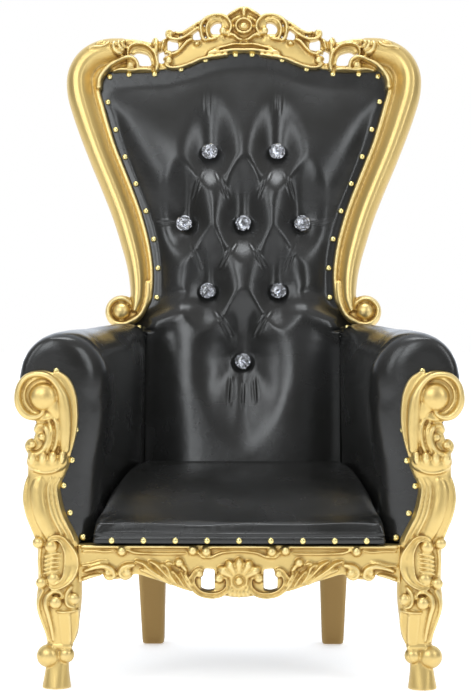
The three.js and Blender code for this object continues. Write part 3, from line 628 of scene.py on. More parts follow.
def crestStrands(s):
    # scrolls, leaves, beads and mouldings of the crest, each a section carried along its line
    y, body = s["face"], 10

    def carved(points, widths, heights, depth=y, section=roundSection, root=body):
        return strand(points, widths, heights, y=depth, section=section, root=root)

    return [
        # big C-scroll: outer rim, second rim inside it, and the ball it curls round
        carved([[60, 764.5], [66.5, 771], [69, 781], [69, 791], [64, 800], [54, 806], [43, 808],
               [31.5, 806], [23, 797.5], [20.5, 787.5], [25, 778.5], [34, 775.5]],
               [5, 6, 7, 7, 6.5, 6, 6, 6.5, 6.5, 6, 5, 4], [5, 7, 9, 9, 9, 9, 9, 9, 9, 9, 8, 5]),
        carved([[56, 769.5], [59.5, 778], [60, 787], [56.5, 796], [49.5, 801], [41.5, 802], [35, 800]],
               [4, 6, 6, 5.5, 5, 4.5, 3], [4, 7, 8, 8, 7, 6, 4]),
        carved([[52.5, 775.5], [56, 782.5], [55, 790], [50, 796], [43.5, 798.5], [37.5, 797.5]],
               [3.5, 4, 4.5, 4.5, 4, 3], [3, 5, 6, 6, 5, 4], depth=y + 2),
        ball(33.5, 781.5, y - 3, 6.4),
        # leaf at its foot
        carved([[60, 767], [54, 768], [48, 769], [42, 771]], [3, 4.5, 4.5, 3], [4, 6, 6, 3]),
        # long double strand down to its small volute
        carved([[67, 799], [75, 794.5], [83.5, 788], [91.5, 782.5], [99.5, 778.5], [106.5, 778],
               [112.5, 780.5]],
               [4, 5, 5.5, 5.5, 5.5, 5, 4], [5, 7, 8, 8, 8, 7, 5]),
        carved([[69.5, 789.5], [77, 784.5], [85, 778.5], [94.5, 772], [104.5, 767.5], [113, 767.5],
               [121, 770.5], [125, 776], [123.5, 780.5], [119, 781.5], [114.5, 779]],
               [4, 5, 5.5, 5.5, 5.5, 5.5, 5.5, 5, 5, 4.5, 3.5], [5, 7, 8, 8, 8, 8, 8, 8, 8, 7, 5],
               depth=y - 1),
        ball(118.5, 775.5, y - 3, 4.6),
        # strand under it, its tip, and the bud in the fork
        carved([[81.5, 768.5], [89.5, 765.5], [95.5, 759.5], [102, 751.5], [109, 745.5], [117, 743],
               [122.5, 745]],
               [4, 5, 5.5, 5.5, 5.5, 5, 3.5], [5, 7, 8, 8, 8, 7, 5]),
        carved([[116.5, 747.5], [121, 747.5], [125.5, 747], [128.5, 744]], [3, 4.5, 5, 4], [4, 6, 6, 5],
               depth=y + 1),
        strand([[80.5, 760.5], [77, 760], [73.5, 761], [71, 762]], [5, 7, 7, 5], [5, 7, 7, 5],
               y=y, root=body),
        # mouldings that sweep down from the middle
        carved([[-3, 759.5], [14, 760], [28.5, 757], [43, 753], [57.5, 747.5]],
               [3.5, 3.5, 3.5, 3.5, 3], [5, 5, 5, 5, 3]),
        carved([[-3, 750], [17, 750], [33, 748], [48, 745.5], [60.5, 740]],
               [5.5, 5.5, 5, 4.5, 3.5], [7, 7, 7, 6, 4]),
        # lower bead, broken by a small scroll, and the volute that ends the band
        carved([[39.5, 743], [47, 747], [54, 746.5], [58.5, 741.5]], [3, 5, 5, 4], [4, 6, 6, 4],
               depth=y - 1),
        carved([[25, 743], [39.5, 740.5], [54, 738.5], [70.5, 734.5], [86.5, 727.5], [102.5, 722],
               [116.5, 721], [125, 724.5], [129, 730]],
               [4.5, 5, 5, 5, 5, 5, 5, 4, 3], [6, 7, 7, 7, 7, 7, 7, 6, 4]),
        ball(121, 732.5, y - 3, 6.0),
        carved([[130, 734], [124.5, 738.5], [116.5, 737.5]], [4, 5, 4], [5, 6, 4], depth=y + 1),
        # flame-shaped stem between crest and shoulder, with a leaf beside it
        carved([[141, 714.5], [140, 726.5], [142, 738.5], [141.5, 750], [141, 760.5], [139.5, 768.5]],
               [6, 7, 7, 7.5, 8, 5], [7, 8, 9, 9, 9, 5]),
        carved([[144, 754.5], [146, 762], [145, 768], [140.5, 770]], [4, 6.5, 5, 3], [6, 9, 8, 5],
               section=ridgeSection),
        carved([[133.5, 750], [131, 758], [129.5, 764.5], [126, 769]], [4, 8.5, 8, 4], [4, 7, 7, 4],
               section=ridgeSection),
        # arch round the largest opening: a rim with a hollow band inside it
        carved([[187, 740], [187, 748], [183.5, 755.5], [175.5, 759], [165.5, 759.5], [156, 756.5],
               [148, 750], [142.5, 741.5], [139.5, 731.5], [138, 720]],
               [4, 4.5, 5, 5, 5, 5, 5, 5, 5, 4], [5, 8, 9, 9, 9, 9, 8, 8, 8, 5], depth=y - 2),
        carved([[180, 743], [177.5, 749], [170.5, 752], [161, 751], [152, 747], [147, 738.5],
               [145.5, 725]],
               [6, 10, 12, 12, 11, 9, 7], [3, 4, 4, 4, 4, 4, 3], section=hollowSection),
        # the member's bead turns over into a hook with a ball under it
        carved([[233.5, 684], [232, 700.5], [224.5, 713.5], [214, 724], [202.5, 730.5], [191.5, 735.5],
               [181.5, 736.5], [174.5, 732.5], [171, 726], [171, 718.5]],
               [10, 9, 8.5, 8, 7.5, 7, 7, 6.5, 6, 5], [6, 8, 9, 10, 10, 10, 10, 10, 9, 5],
               depth=[y - 6, y - 6, y - 6, y - 5, y - 4, y - 3], root=14),
        ball(182.5, 726, y - 2, 7.0),
        carved([[211.5, 715], [201, 718], [193, 718.5], [183.5, 717], [170.5, 718], [159, 718],
               [147, 718]], [3, 5, 6, 5.5, 6, 6, 5], [4, 6, 7, 6, 7, 7, 5]),
        # crescents where the member ends, and the veins that run back over its shoulder
        carved([[207.5, 763], [210, 754.5], [207.5, 747.5], [202, 742.5], [194.5, 741.5]],
               [5, 7.5, 8, 7.5, 5], [4, 7, 8, 8, 4], depth=y - 13, root=30),
        carved([[200, 764.5], [202, 757.5], [198.5, 750], [192, 746.5]], [4, 6, 7, 5], [4, 7, 8, 4],
               depth=y - 12, root=30),
        carved([[191, 765.5], [195.5, 760.5], [193.5, 755], [188, 752.5]], [4, 6, 5, 4], [3, 6, 6, 3],
               depth=y - 8, root=30),
        carved([[251, 751], [240, 753], [230, 753.5], [222, 756.5], [215.5, 762.5]], [3, 5, 5, 5, 3],
               [3, 4.5, 5, 5, 3], depth=y - 12, root=30),
        carved([[240, 759.5], [233.5, 761], [226, 764.5]], [3, 4, 3], [3, 4.5, 3], depth=y - 8, root=26),
    ]


def cartouche(s):
    # an oval boss in a ring, under a gabled leaf; short leaves below it
    x, z = s["boss"]
    y = s["face"]
    turn = np.linspace(0, 2 * np.pi, 42)
    ring = np.stack([x + 12.6 * np.cos(turn), z + 11.6 * np.sin(turn)], axis=1)
    boss = ball(x, z, y - 4, 6.2, 0.9)
    boss[0][:, 0] = x + (boss[0][:, 0] - x) * 1.25
    lines = [strand(ring, [4.4, 4.4], [8, 8], y=y - 3, root=12, blunt=False), boss,
             turned(x, z, [[0.1, -11], [12, -11], [12, y - 5], [9, y - 5], [0.1, y - 5]]),
             strand([[0, 804], [0, 812], [0, 823]], [6, 9, 4.5], [6, 9, 4], y=y, root=14)]
    lines += mirrored([
        strand([[3, 821.5], [9, 817.5], [17, 812.5], [26, 807.5]], [4, 5.5, 5.5, 4], [6, 8, 8, 5], y=y,
               root=14),
        strand([[5, 806], [12, 803.5], [18, 799], [20.5, 791], [19, 783]], [3, 4, 4.5, 4.5, 3],
               [4, 6, 6, 6, 4], y=y + 1,
               root=14),
        strand([[1, 767], [8, 768], [14, 773], [20, 775.5], [27, 772.5]], [4, 5, 5, 4.5, 3],
               [5, 7, 7, 6, 4], y=y,
               root=14),
    ])
    return lines


shapes = mirrored([sideMember(backFrame), *backVolute(backFrame), *crestGround(backFrame),
                   *crestStrands(backFrame)])
carve("carved back frame", shapes + cartouche(backFrame), leaning, "back_frame", backFrame["voxel"])

# front legs with their arm posts
legShape = {
    # height, inner edge, outer edge
    "silhouette": [[0, 241, 282.5], [12, 242.5, 280], [30, 244, 277], [46, 243, 275], [60, 239, 274.5],
                   [76, 231.5, 277], [99, 228.5, 284.5], [118, 226, 290], [134, 225, 289.5], [146, 225, 288],
                   [175, 226.5, 288], [203, 227, 289], [212, 228.5, 290.5], [224, 233.5, 294],
                   [249, 246, 303],
                   [271, 252, 307], [290, 254, 305], [306, 247, 301], [322, 241, 301], [336, 240, 301],
                   [350, 235, 296], [366, 231, 284], [380, 230.5, 276], [400, 229.5, 262]],
    "front": [[0, 2], [30, 9], [44, 11], [76, 7], [118, -1], [144, 3], [206, 4], [250, -1], [290, 2],
              [320, 1],
              [350, 5], [425, 7]],
    "rear": [[0, 46], [30, 40], [44, 38], [76, 43], [118, 49], [144, 50], [203, 50], [300, 50]],
    "postDepth": 29.5,
    "volute": (280, 418),
    "voluteRadius": 36.5,
    "voxel": 1.25,
}
legFront, legRear = smoothLevel(legShape["front"]), smoothLevel(legShape["rear"])
outline = np.asarray(legShape["silhouette"], float)
legInner, legOuter = smoothLevel(outline[:, [0, 1]]), smoothLevel(outline[:, [0, 2]])


def squareReach(a, power):
    # how far a squared circle reaches at each angle: |cos|^p + |sin|^p, to the power -1/p
    return (np.abs(np.cos(a)) ** power + np.abs(np.sin(a)) ** power) ** (-1 / power)


def legRearAt(z):
    # the leg's own rear up to the seat rail, the post's above it
    return np.where(z > 204, legShape["postDepth"], legRear(z))


def legFace(x, z):
    # depth of the leg's front: a squarish oval between the silhouette's two edges
    middle, half = (legInner(z) + legOuter(z)) / 2, (legOuter(z) - legInner(z)) / 2
    share = np.clip(np.abs(x - middle) / half, 0, 0.985)
    deep = (legRearAt(z) - legFront(z)) / 2
    return legFront(z) + deep * (1 - (1 - share**3) ** (1 / 3))


def legCore():
    # squared circles between the silhouette's edges, front and rear, stacked from the floor to the volute
    heights = np.concatenate([np.linspace(0, 203, 70), np.linspace(204.5, 400, 70)])
    a = np.linspace(0, 2 * np.pi, 48, endpoint=False)[None, :] + 0.03
    z = heights[:, None]
    power = np.where(z < 50, 2.0 + z / 50, 3.0)  # the hoof is round
    reach = squareReach(a, power)
    rear = legRearAt(z)
    x = (legInner(z) + legOuter(z)) / 2 + (legOuter(z) - legInner(z)) / 2 * reach * np.cos(a)
    y = (legFront(z) + rear) / 2 + (rear - legFront(z)) / 2 * reach * np.sin(a)
    return loft(np.stack([x, y, z + 0 * x], axis=-1))


def splay(points):
    # the lower leg's carving sets out a little with the leg
    p = np.asarray(points, float)
    return np.stack([p[:, 0] + 2 + 10 * (1 - np.minimum(p[:, 1], 200) / 200), p[:, 1]], axis=1)


def legCarving(s):
    # everything that stands out from the leg's core, from the volute down to the ankle
    shapes = []

    def carved(points, widths, heights, lift=0.0, section=roundSection, root=7):
        depth = lambda x, z: legFace(x, z) + 0.6 - lift
        shapes.append(strand(splay(points), widths, heights, y=depth, section=section, root=root))

    def bead(x, z, r, forward=0.0, squash=0.8):
        px, pz = splay([[x, z]])[0]
        shapes.append(ball(px, pz, float(legFace(px, pz)) - forward, r, squash))

    # arm post: volute disc with a hollow round its eye, and the band that rolls over it
    x, z = s["volute"]
    r = s["voluteRadius"]
    shapes.append(turned(x, z, [[0.1, 29.5], [r - 3, 29.5], [r, 26], [r, 6], [r - 3, 3], [29, 3.5], [24, 5],
                                [0.1, 2]]))
    shapes.append(ball(x - 2.5, z - 1, 4.5, 20, 0.62))
    # the eye runs out into the band, and a thin line winds in beside it
    shapes.append(strand([[274, 415], [267, 407], [260.5, 397], [257, 386]], [26, 22, 16, 9], [5, 5, 4, 2],
                         y=3.5,
                         root=8))
    shapes.append(strand(rolled((x - 0.5, z), 27.5, 24, 150, -250, 20), [2.5, 3.5, 4, 4, 3],
                         [2, 3, 3.5, 3, 2],
                         y=4.5, root=6))
    shapes.append(slab(smoothPath([[240, 333], [235, 349], [230.5, 372], [229, 392], [230.5, 408], [235, 425],
                                   [245, 443], [262, 453.5]], 30),
                       smoothPath([[262, 333], [262, 350], [262, 370], [262, 385], [262, 400], [264, 415],
                                   [268, 430], [272, 440]], 30), 6, 29.5, crown=1.5))
    ring = [[247.5, 336], [247, 356], [246.5, 376], [247.5, 398], [250, 417], [256.5, 432], [268, 444.5],
            [283, 449.3], [299, 446.5], [309.5, 436], [313.8, 420], [311.5, 404], [303, 392.5], [291, 388.5],
            [281, 392], [276.5, 399]]
    shapes.append(strand(ring, [13, 16, 18, 19, 19.5, 17, 12, 10, 9.5, 9, 9, 10, 12, 12, 10, 5],
                         [6, 7, 8, 8.5, 9, 9, 8.5, 8, 8, 8, 8, 8, 8, 8, 7, 4], y=5, root=12))
    shapes.append(strand([[241, 336], [236, 352], [231.5, 376], [231, 400], [234.5, 424], [244, 443],
                          [258, 453]],
                         [3.5, 4, 4, 4, 4, 3], [3, 3.5, 4, 4, 4, 3], y=8, root=10))
    # leaf under the volute: two ribs and a big curl
    carved([[265, 390], [258, 382.5], [255.5, 368], [258, 350], [264.5, 333]], [5, 8, 8.5, 8, 5],
           [5, 8, 8, 7, 4])
    carved([[270, 385], [264, 372], [265, 356], [272, 334]], [4, 7, 7.5, 5], [4, 8, 8, 4])
    carved([[288, 366], [283.3, 376], [274.3, 375.3], [268.8, 366.3], [270.3, 351.8], [277, 340.5],
            [288, 336],
            [297, 340.5], [299.5, 348.5], [294.2, 355], [287.5, 352]],
           [6, 9, 10, 10, 10, 9, 8.5, 8, 7, 6, 4], [7, 10, 10, 9, 8, 8, 8, 8, 8, 7, 4], lift=1)
    carved([[276, 331], [284, 331.5], [293, 332.5]], [3, 4, 3], [3, 4, 3])
    bead(291.8, 349, 6.2, 3)
    bead(277.5, 360, 6, 1)
    shapes.append(strand([[283, 384], [281, 372], [281, 361], [285, 346]], [14, 15, 20, 16], [1, 1, 1, 1],
                         y=7,
                         section=flatSection, root=14))
    # row of beads over a cupped leaf
    carved([[241, 333], [252, 325], [268, 321], [284, 322], [299, 330]], [13, 24, 28, 26, 15],
           [5, 8, 9, 8, 6])
    for bx, bz, wide in ((291, 331, 14.5), (276, 331.5, 14), (262, 332, 13.5), (248.5, 333, 11)):
        carved([[bx, bz + 8], [bx, bz], [bx + 0.06 * (270 - bx), bz - 11]], [wide * 0.8, wide, wide * 0.5],
               [5, 8, 3], lift=6)
    carved([[299, 322], [286, 313], [270, 310.5], [256, 314], [245, 324]], [3, 4.5, 5, 4.5, 3],
           [3, 5, 5, 5, 3],
           lift=3)
    # shaft: bead, hollow, broad rounded rib, then three thin ribs towards the inner edge
    heights = np.array([303, 290, 271, 249, 232, 218, 209.0])
    for share, wide, tall in ((0.93, 5, 3.5), (0.57, 20, 5), (0.29, 5, 3.5), (0.18, 4.5, 3), (0.07, 5, 3.5)):
        line = np.stack([legInner(heights) + (legOuter(heights) - legInner(heights)) * share, heights],
                        axis=1)
        carved(line, [wide * k for k in (0.7, 1, 1, 1, 1, 0.9, 0.6)],
               [tall * k for k in (0.5, 1, 1, 1, 1, 1, 0.5)])
    # knee: C-scroll with hollow face, its eyes, a fan and an outer bar
    carved([[270, 212], [262, 217], [251, 215.5], [243, 206], [236.3, 191], [235.2, 176], [238.5, 162],
            [246, 152.5], [257, 147.5], [267, 150]],
           [6, 8.5, 11, 15, 21, 23, 20, 14, 10, 7], [6, 9, 10, 10, 9, 8, 9, 10, 9, 6], lift=2,
           section=hollowSection)
    bead(264.4, 204.5, 9.6, 2, 0.7)
    bead(259.2, 158.1, 10, 2, 0.7)
    bead(283.5, 209.5, 8.4, 3)
    bead(276.5, 152.2, 8.5, 3)
    carved([[255, 153], [256, 180], [258, 208]], [34, 36, 30], [3, 3.5, 3], section=flatSection)
    for k in range(5):
        low = 167 + 6.2 * k
        carved([[275, low - 2], [266, low + 1.5], [252, low + 3]], [3.4, 5, 3.4], [3, 4.5, 3], lift=3)
    carved([[280, 203], [281.5, 184], [278.5, 162]], [5, 6.5, 5], [5, 7, 5])
    # calf: two rolled leaves with ribs running down from them
    carved([[246, 129], [248, 138], [257.7, 140.5], [266.6, 133], [268.1, 122], [264, 107], [259, 87],
            [255.5, 67]],
           [5, 8, 9, 9, 8, 7, 6, 4], [5, 8, 9, 8, 7, 6, 5, 3])
    bead(254.5, 125.3, 9.2, 4)
    carved([[273, 143], [279, 128], [278.5, 114], [273, 98], [267, 82], [262, 66]], [5, 6.5, 6, 6, 5, 4],
           [4, 6, 6, 5, 5, 3])
    carved([[232, 149], [238, 141], [240, 130], [236.5, 121], [227, 117]], [5, 8, 8, 7, 5], [5, 8, 8, 7, 4])
    bead(229.5, 130, 8.6, 3)
    carved([[242.5, 113], [240, 90], [237.5, 62]], [18.5, 17.5, 15], [2.5, 2.5, 2.5], section=flatSection)
    carved([[225, 113], [224.5, 90], [230, 64]], [7, 6, 4], [2, 2, 1.5], section=flatSection)
    carved([[221, 114], [232, 112], [244, 111], [254, 112]], [3, 4, 4, 3], [3, 4, 4, 3], lift=1)
    carved([[256, 152], [252, 143], [243, 143], [236, 150]], [12, 16, 16, 10], [3, 4, 4, 3])
    # ankle balls and hoof
    shapes.append(ball(272.5, 46, 16, 17, 0.9))
    shapes.append(ball(247.5, 48, 15, 12.2, 0.9))
    shapes.append(ball(250, 47, 36, 11, 0.9))
    shapes.append(strand([[238, 60], [252, 61], [268, 61]], [7, 8, 7], [3, 4, 3], y=11, root=20))
    return shapes


rightLeg = carve("carved leg right", [legCore(), *legCarving(legShape)], standing, "front_leg_right",
                 legShape["voxel"], 2)
mirrorPiece(rightLeg, "carved leg left", "front_leg_left")

# carved front rail
railShape = {
    "top": 206.4,
    "half": 229.0,
    "face": 10,
    "rear": 32,
    "voxel": 1.3,
}


def railBoards(s):
    # boards round the pierced holes; together they fill the rail's outline
    def board(low, high=None):
        # without an upper line, it runs up to the rail's top
        high = high or [[point[0], s["top"]] for point in low]
        return slab(smoothPath(low, 24), smoothPath(high, 24), s["face"], s["rear"])

    return [
        board([[-1, 131], [14, 132], [30, 136], [35, 138]]),
        board([[30, 170], [45, 172], [60, 170]]),
        board([[30, 134.5], [45, 134.5], [60, 138]], [[30, 143], [45, 140], [60, 145]]),
        board([[54.5, 137], [76, 141.5], [100, 150], [126, 158.5]]),
        board([[122, 157], [147, 164], [158, 161], [169, 157.5]]),
        board([[165, 158], [180, 157], [190, 163], [200, 164], [216, 156], [s["half"], 152]]),
    ]


def railStrands(s):
    # mouldings, scrolls and leaves of one half of the rail, each a section carried along its line
    shapes = []
    y = s["face"]

    def carved(points, widths, heights, depth=y, section=roundSection, root=9):
        shapes.append(strand(points, widths, heights, y=depth + 0.5, section=section, root=root))

    # top moulding in lengths, each rolled into a small scroll at its ends
    carved([[-3, 203.6], [20, 203.6], [38, 203.4], [48, 202.4], [51.5, 197.5], [47.5, 192]],
           [5.2, 5.2, 5.2, 5, 5, 3.5],
           [5, 5, 5.5, 6, 6, 4])
    shapes.append(ball(46.5, 196.6, y - 3, 7.2))
    carved([[-3, 197.2], [14, 196.5], [28, 194.2], [36, 190.5], [44, 188.6], [53, 189.5], [57.5, 196]],
           [2.8, 3, 3.4, 3.6, 4, 4, 3], [3.5, 4, 4.5, 5, 5.5, 5.5, 4])
    carved([[226, 203.6], [190, 203.6], [120, 203.6], [84, 203.5], [66, 202.8], [58.6, 198], [62, 191.5]],
           [5.2, 5.2, 5.2, 5.2, 5, 5, 3.5], [5, 5, 5, 5, 5.5, 6, 4])
    shapes.append(ball(66, 198, y - 3, 6.8))
    carved([[74, 194], [95, 193.4], [130, 193.8], [150, 195.5], [160, 199.5], [169, 200.5], [173, 195.8],
            [168, 191.6]],
           [2.6, 3, 3, 3.2, 3.6, 4, 4, 3], [3.5, 4, 4, 4, 4.5, 5, 5, 3.5])
    shapes.append(ball(167, 197, y - 3, 7))
    carved([[176, 197.8], [190, 196.2], [206, 197.6], [224, 197]], [2.6, 3, 3, 2.6], [3.5, 4, 4, 3.5])
    # C-scroll round each piercing
    carved([[29.5, 165.5], [20, 164.5], [15, 155], [17, 143.5], [26, 136.2], [41, 134], [56, 138],
            [65.5, 147.5],
            [66.5, 159], [58, 170.5], [49.5, 169]],
           [5, 6.5, 7.5, 8.5, 9, 9, 9.5, 10, 9, 7.5, 4], [5, 7, 8, 8.5, 9, 9, 9, 9, 9, 8, 4],
           section=hollowSection)
    shapes.append(ball(28.2, 158.8, y - 2, 7))
    shapes.append(ball(56.3, 165.2, y - 2, 5.8))
    # acanthus: three long lobes from one root, a rim under them, short lobes and a bud beside the scroll
    for tip, bend, low, root, wide in (
            ([149, 183.5], [136.5, 179.5], [126, 171], [98, 152.5], 12),
            ([129, 183.5], [118, 178], [108, 168], [92, 151], 12),
            ([111, 179.5], [102.5, 174], [97, 162.5], [88, 149.5], 11),
            ([95.5, 170], [90, 164], [84, 157], [77, 145], 9),
            ([84, 169.5], [79, 161], [74, 152], [68.5, 142.5], 8),
            ([77, 167], [73.5, 160], [69, 153], [65.5, 147], 7)):
        carved([tip, bend, low, root], [5, wide, wide, 5], [6, 10, 10, 5], section=ridgeSection)
    carved([[142, 172], [126.5, 166], [112, 158], [95, 149.5]], [4, 5.5, 5.5, 4], [5, 7, 7, 5])
    shapes.append(ball(85.4, 181, y - 2, 6.5))
    carved([[82, 178], [78, 173], [74, 168]], [7, 7, 5], [6, 7, 5])
    carved([[104, 181], [98, 180], [93, 177]], [5, 7, 4], [4, 6, 4], section=ridgeSection)
    # the scrolls that end the lower edge, a facing pair
    carved([[147, 178], [153, 177], [164, 174.5], [169.5, 166.5], [163, 159.5], [152, 163]],
           [6, 8, 8.5, 8.5, 8, 5],
           [6, 8, 8, 8, 8, 5])
    shapes.append(ball(159.5, 167.5, y - 3, 6.6))
    carved([[222, 168], [205, 174], [191.5, 175.5], [180.5, 170.5], [178, 162], [186, 158], [193, 163.5]],
           [5, 6.5, 8, 8.5, 8, 7, 4], [5, 8, 8, 8, 8, 7, 4])
    shapes.append(ball(186.5, 167, y - 2, 5.6))
    carved([[224, 157], [206, 162.5], [196, 164]], [5, 6, 4], [5, 7, 4])
    carved([[226, 176], [210, 178], [196, 182], [186, 182]], [3, 4, 4, 2.5], [3, 4, 4, 2])
    return shapes


def railShell(s):
    # five ribs fan out from a ringed boss; a fluted tongue hangs below
    y = s["face"]
    shapes = []
    for turn, reach in ((90, 33), (59, 33.5), (121, 33.5), (31, 36), (149, 36)):
        a = radians(turn)
        d = np.array([cos(a), sin(a)])
        c = np.array([0, 155.5])
        shapes.append(strand([c + d * 9, c + d * 20, c + d * (reach - 5), c + d * reach], [6, 11, 15, 9],
                             [6, 9, 11, 5], y=y - 1, root=10))
    for turn in (12, 168):
        a = radians(turn)
        d = np.array([cos(a), sin(a)])
        shapes.append(strand([[0, 155.5] + d * 8, [0, 155.5] + d * 14], [6, 5], [6, 5], y=y, root=10))
    shapes.append(turned(0, 155.5, [[0.1, y + 8], [13, y + 8], [13.5, y - 4], [12, y - 7.5], [10, y - 7.5],
                                    [8.6, y - 5.5], [0.1, y - 5.5]]))
    shapes.append(ball(0, 155.5, y - 6, 6.4))
    for x in (-13, -6.5, 0, 6.5, 13):
        low = 130.8 + abs(x) * 0.12
        shapes.append(strand([[x * 0.6, 146], [x * 0.9, 138], [x * 1.05, low]], [4, 7, 6.5], [4, 6, 5],
                             y=y - 1, root=10))
    return shapes


shapes = mirrored([*railBoards(railShape), *railStrands(railShape)])
carve("carved front rail", shapes + railShell(railShape), standing, "front_rail", railShape["voxel"], 2)

# side rails, rear rail, rear legs
seatFrame = {
    "railFrontY": 50.8, "railRearY": 344.4,
    "railFrontX": 262, "railRearX": 148,
    "bottom": 160, "top": 206.4,
    "legX": 143, "footY": 418,
}


def sideRail(s):
    # a moulded section (distance out, height) carried straight from the leg back to the rear leg
    section = smoothPath([[18.4, 160], [21.2, 161.2], [22, 164.6], [21.2, 168], [18.9, 169.8], [18.3, 172],
                          [18.3, 183],
                          [18.3, 193], [18.9, 195.4], [21.2, 197], [22, 200.4], [21.2, 204], [19, 206.2]], 60)
    section = np.vstack([[0.4, 160], section, [0.4, 206.4]])
    t = np.linspace(0, 1, 60)[:, None]
    x = s["railFrontX"] + (s["railRearX"] - s["railFrontX"]) * t + section[None, :, 0]
    y = s["railFrontY"] + (s["railRearY"] - s["railFrontY"]) * t + 0 * x
    return loft(np.stack([x, y, section[None, :, 1] + 0 * x], axis=-1))


def roundedBar(centres, halfWide, halfDeep, heights, squareness=7, sides=64):
    # a squared bar with eased corners, its middle and its size changing with height
    a = np.linspace(0, 2 * np.pi, sides, endpoint=False)[None, :] + 0.02
    reach = squareReach(a, squareness)
    c = np.asarray(centres, float)
    x = c[:, :1] + np.asarray(halfWide)[:, None] * reach * np.cos(a)
    y = c[:, 1:] + np.asarray(halfDeep)[:, None] * reach * np.sin(a)
    return loft(np.stack([x, y, np.asarray(heights, float)[:, None] + 0 * x], axis=-1))


def rearLeg(s):
    # a squared bar that tapers down and sweeps back to its foot, eased at the floor
    z = np.concatenate([[0, 0.6, 2], np.linspace(4, s["top"], 60)])
    y = smoothLevel([[0, s["footY"]], [100, 387], [158, 370], [s["top"], 366]])(z)
    levels = [0, 0.6, 2, 4, 8, 100, 158, s["top"]]
    half = np.interp(z, levels, [14, 15.6, 16.5, 17, 17.5, 21, 23.5, 23.5])
    deep = np.interp(z, levels, [14, 15.6, 16.5, 17, 17.5, 19, 20.5, 20.5])
    return roundedBar(np.stack([0 * z + s["legX"], y], 1), half, deep, z)


def rearRail(s):
    # a plain board with eased edges, drawn out along x
    a = np.linspace(0, 2 * np.pi, 64, endpoint=False)[None, :] + 0.02
    reach = squareReach(a, 9)
    x = np.linspace(-118.8, 118.8, 40)[:, None]
    y = 373 + 11 * reach * np.cos(a) + 0 * x
    z = (s["bottom"] + s["top"]) / 2 + (s["top"] - s["bottom"]) / 2 * reach * np.sin(a) + 0 * x
    return loft(np.stack([x + 0 * y, y, z], axis=-1))


def plainWood(name, shape, material, node):
    # a plain painted piece, with its hollows marked for the paint
    piece = makePiece(name, standing(shape[0]), shape[1], material)
    markHollows(piece.data, 8, 0.0015)
    settle(piece, node)
    return piece


rightRail = plainWood("moulded side rail right", sideRail(seatFrame), gold, "side_rail_right")
mirrorPiece(rightRail, "moulded side rail left", "side_rail_left")
rightRear = plainWood("rear leg right", rearLeg(seatFrame), dullGold, "rear_leg_right")
mirrorPiece(rightRear, "rear leg left", "rear_leg_left")
plainWood("rear rail board", rearRail(seatFrame), dullGold, "rear_rail")
print("rails and rear legs made")

# upholstery: grids and skins that a short cloth simulation fills out
buttonPlaces = [(-54, 580), (54, 580), (-94, 463), (0, 463), (94, 463), (-56, 354), (56, 354), (0, 241)]
backPad = {
    "lowHalf": 151.5,    # between the arms
    "armSlope": 0.155,   # how fast the arms' inner faces part towards the front
    "gapToFrame": -2.5,
    "topGap": -6.0,
    "edge": 20.0,        # thickness at the nailed edge
    "rise": 34.0,
    "rear": 8.0,
    "shoulder": 655.0,
    "across": 64,
    "up": 136,
    "wells": {"deep": 24.0, "wide": 54.0, "above": 112.0, "below": 70.0},
    "lowWell": {"deep": 26.0, "wide": 78.0, "above": 115.0, "below": 150.0},
    "valleys": [
        # from, to, depth, half-width
        [(-54, 580), (-57, 735), 6, 13], [(54, 580), (57, 735), 6, 13],
        [(-54, 580), (-94, 463), 6.5, 17], [(-54, 580), (0, 463), 6.5, 17],
        [(54, 580), (94, 463), 6.5, 17], [(54, 580), (0, 463), 6.5, 17],
        [(-94, 463), (-56, 354), 6.5, 17], [(0, 463), (-56, 354), 6.5, 17],
        [(94, 463), (56, 354), 6.5, 17], [(0, 463), (56, 354), 6.5, 17],
        [(-56, 354), (0, 241), 6.5, 17], [(56, 354), (0, 241), 6.5, 17],
        [(-94, 463), (-150, 463), 5, 10], [(94, 463), (150, 463), 5, 10],
        [(-56, 354), (-170, 352), 6, 7], [(56, 354), (170, 352), 6, 7],
    ],
    "gathers": [
        # from, to, depth, spacing, spread: fine folds that run beside one another
        [(-58, 640), (-59, 732), 1.2, 7.5, 7], [(56, 640), (58, 732), 1.2, 7.5, 7],
        [(-66, 548), (-80, 500), 1.0, 7, 4.5], [(-43, 548), (-24, 500), 1.0, 7, 4.5],
        [(43, 548), (24, 500), 1.0, 7, 4.5], [(66, 548), (80, 500), 1.0, 7, 4.5],
        [(-84, 432), (-68, 386), 1.0, 7, 4.5], [(-12, 432), (-36, 388), 1.0, 7, 4.5],
        [(12, 432), (36, 388), 1.0, 7, 4.5], [(84, 432), (68, 386), 1.0, 7, 4.5],
        [(-44, 324), (-18, 280), 1.2, 8, 5], [(44, 324), (18, 280), 1.2, 8, 5],
        [(-104, 466), (-142, 467), 1.0, 7, 4], [(104, 466), (142, 467), 1.0, 7, 4],
        [(-17, 218), (-20, 168), 1.3, 10, 4.5], [(1, 212), (0, 160), 1.5, 10, 4.5],
        [(18, 218), (21, 172), 1.3, 10, 4.5],
    ],
}


def memberInnerEdge(s):
    # the frame member's inner edge as half-width against height up the back
    path, step, half = memberLine(s, 400)
    edge = np.stack([path[:, 0] - step[:, 1] * half, path[:, 1] + step[:, 0] * half], axis=1)
    edge = edge[(edge[:, 1] > 345) & (edge[:, 1] < 690)]
    rising = np.maximum.accumulate(edge[:, 1])
    foot = [[203, 291], [203, 297], [196, 301], [172, 306], [156, 320], [149.5, 335]]
    return np.vstack([foot, np.stack([edge[:, 0], rising], axis=1)])


innerEdge = memberInnerEdge(backFrame)
crestUnder = smoothLevel([[0, 745], [22, 743], [44, 740], [60, 736], [75, 729.5], [100, 720], [120, 716.5],
                          [150, 714], [212, 714]])


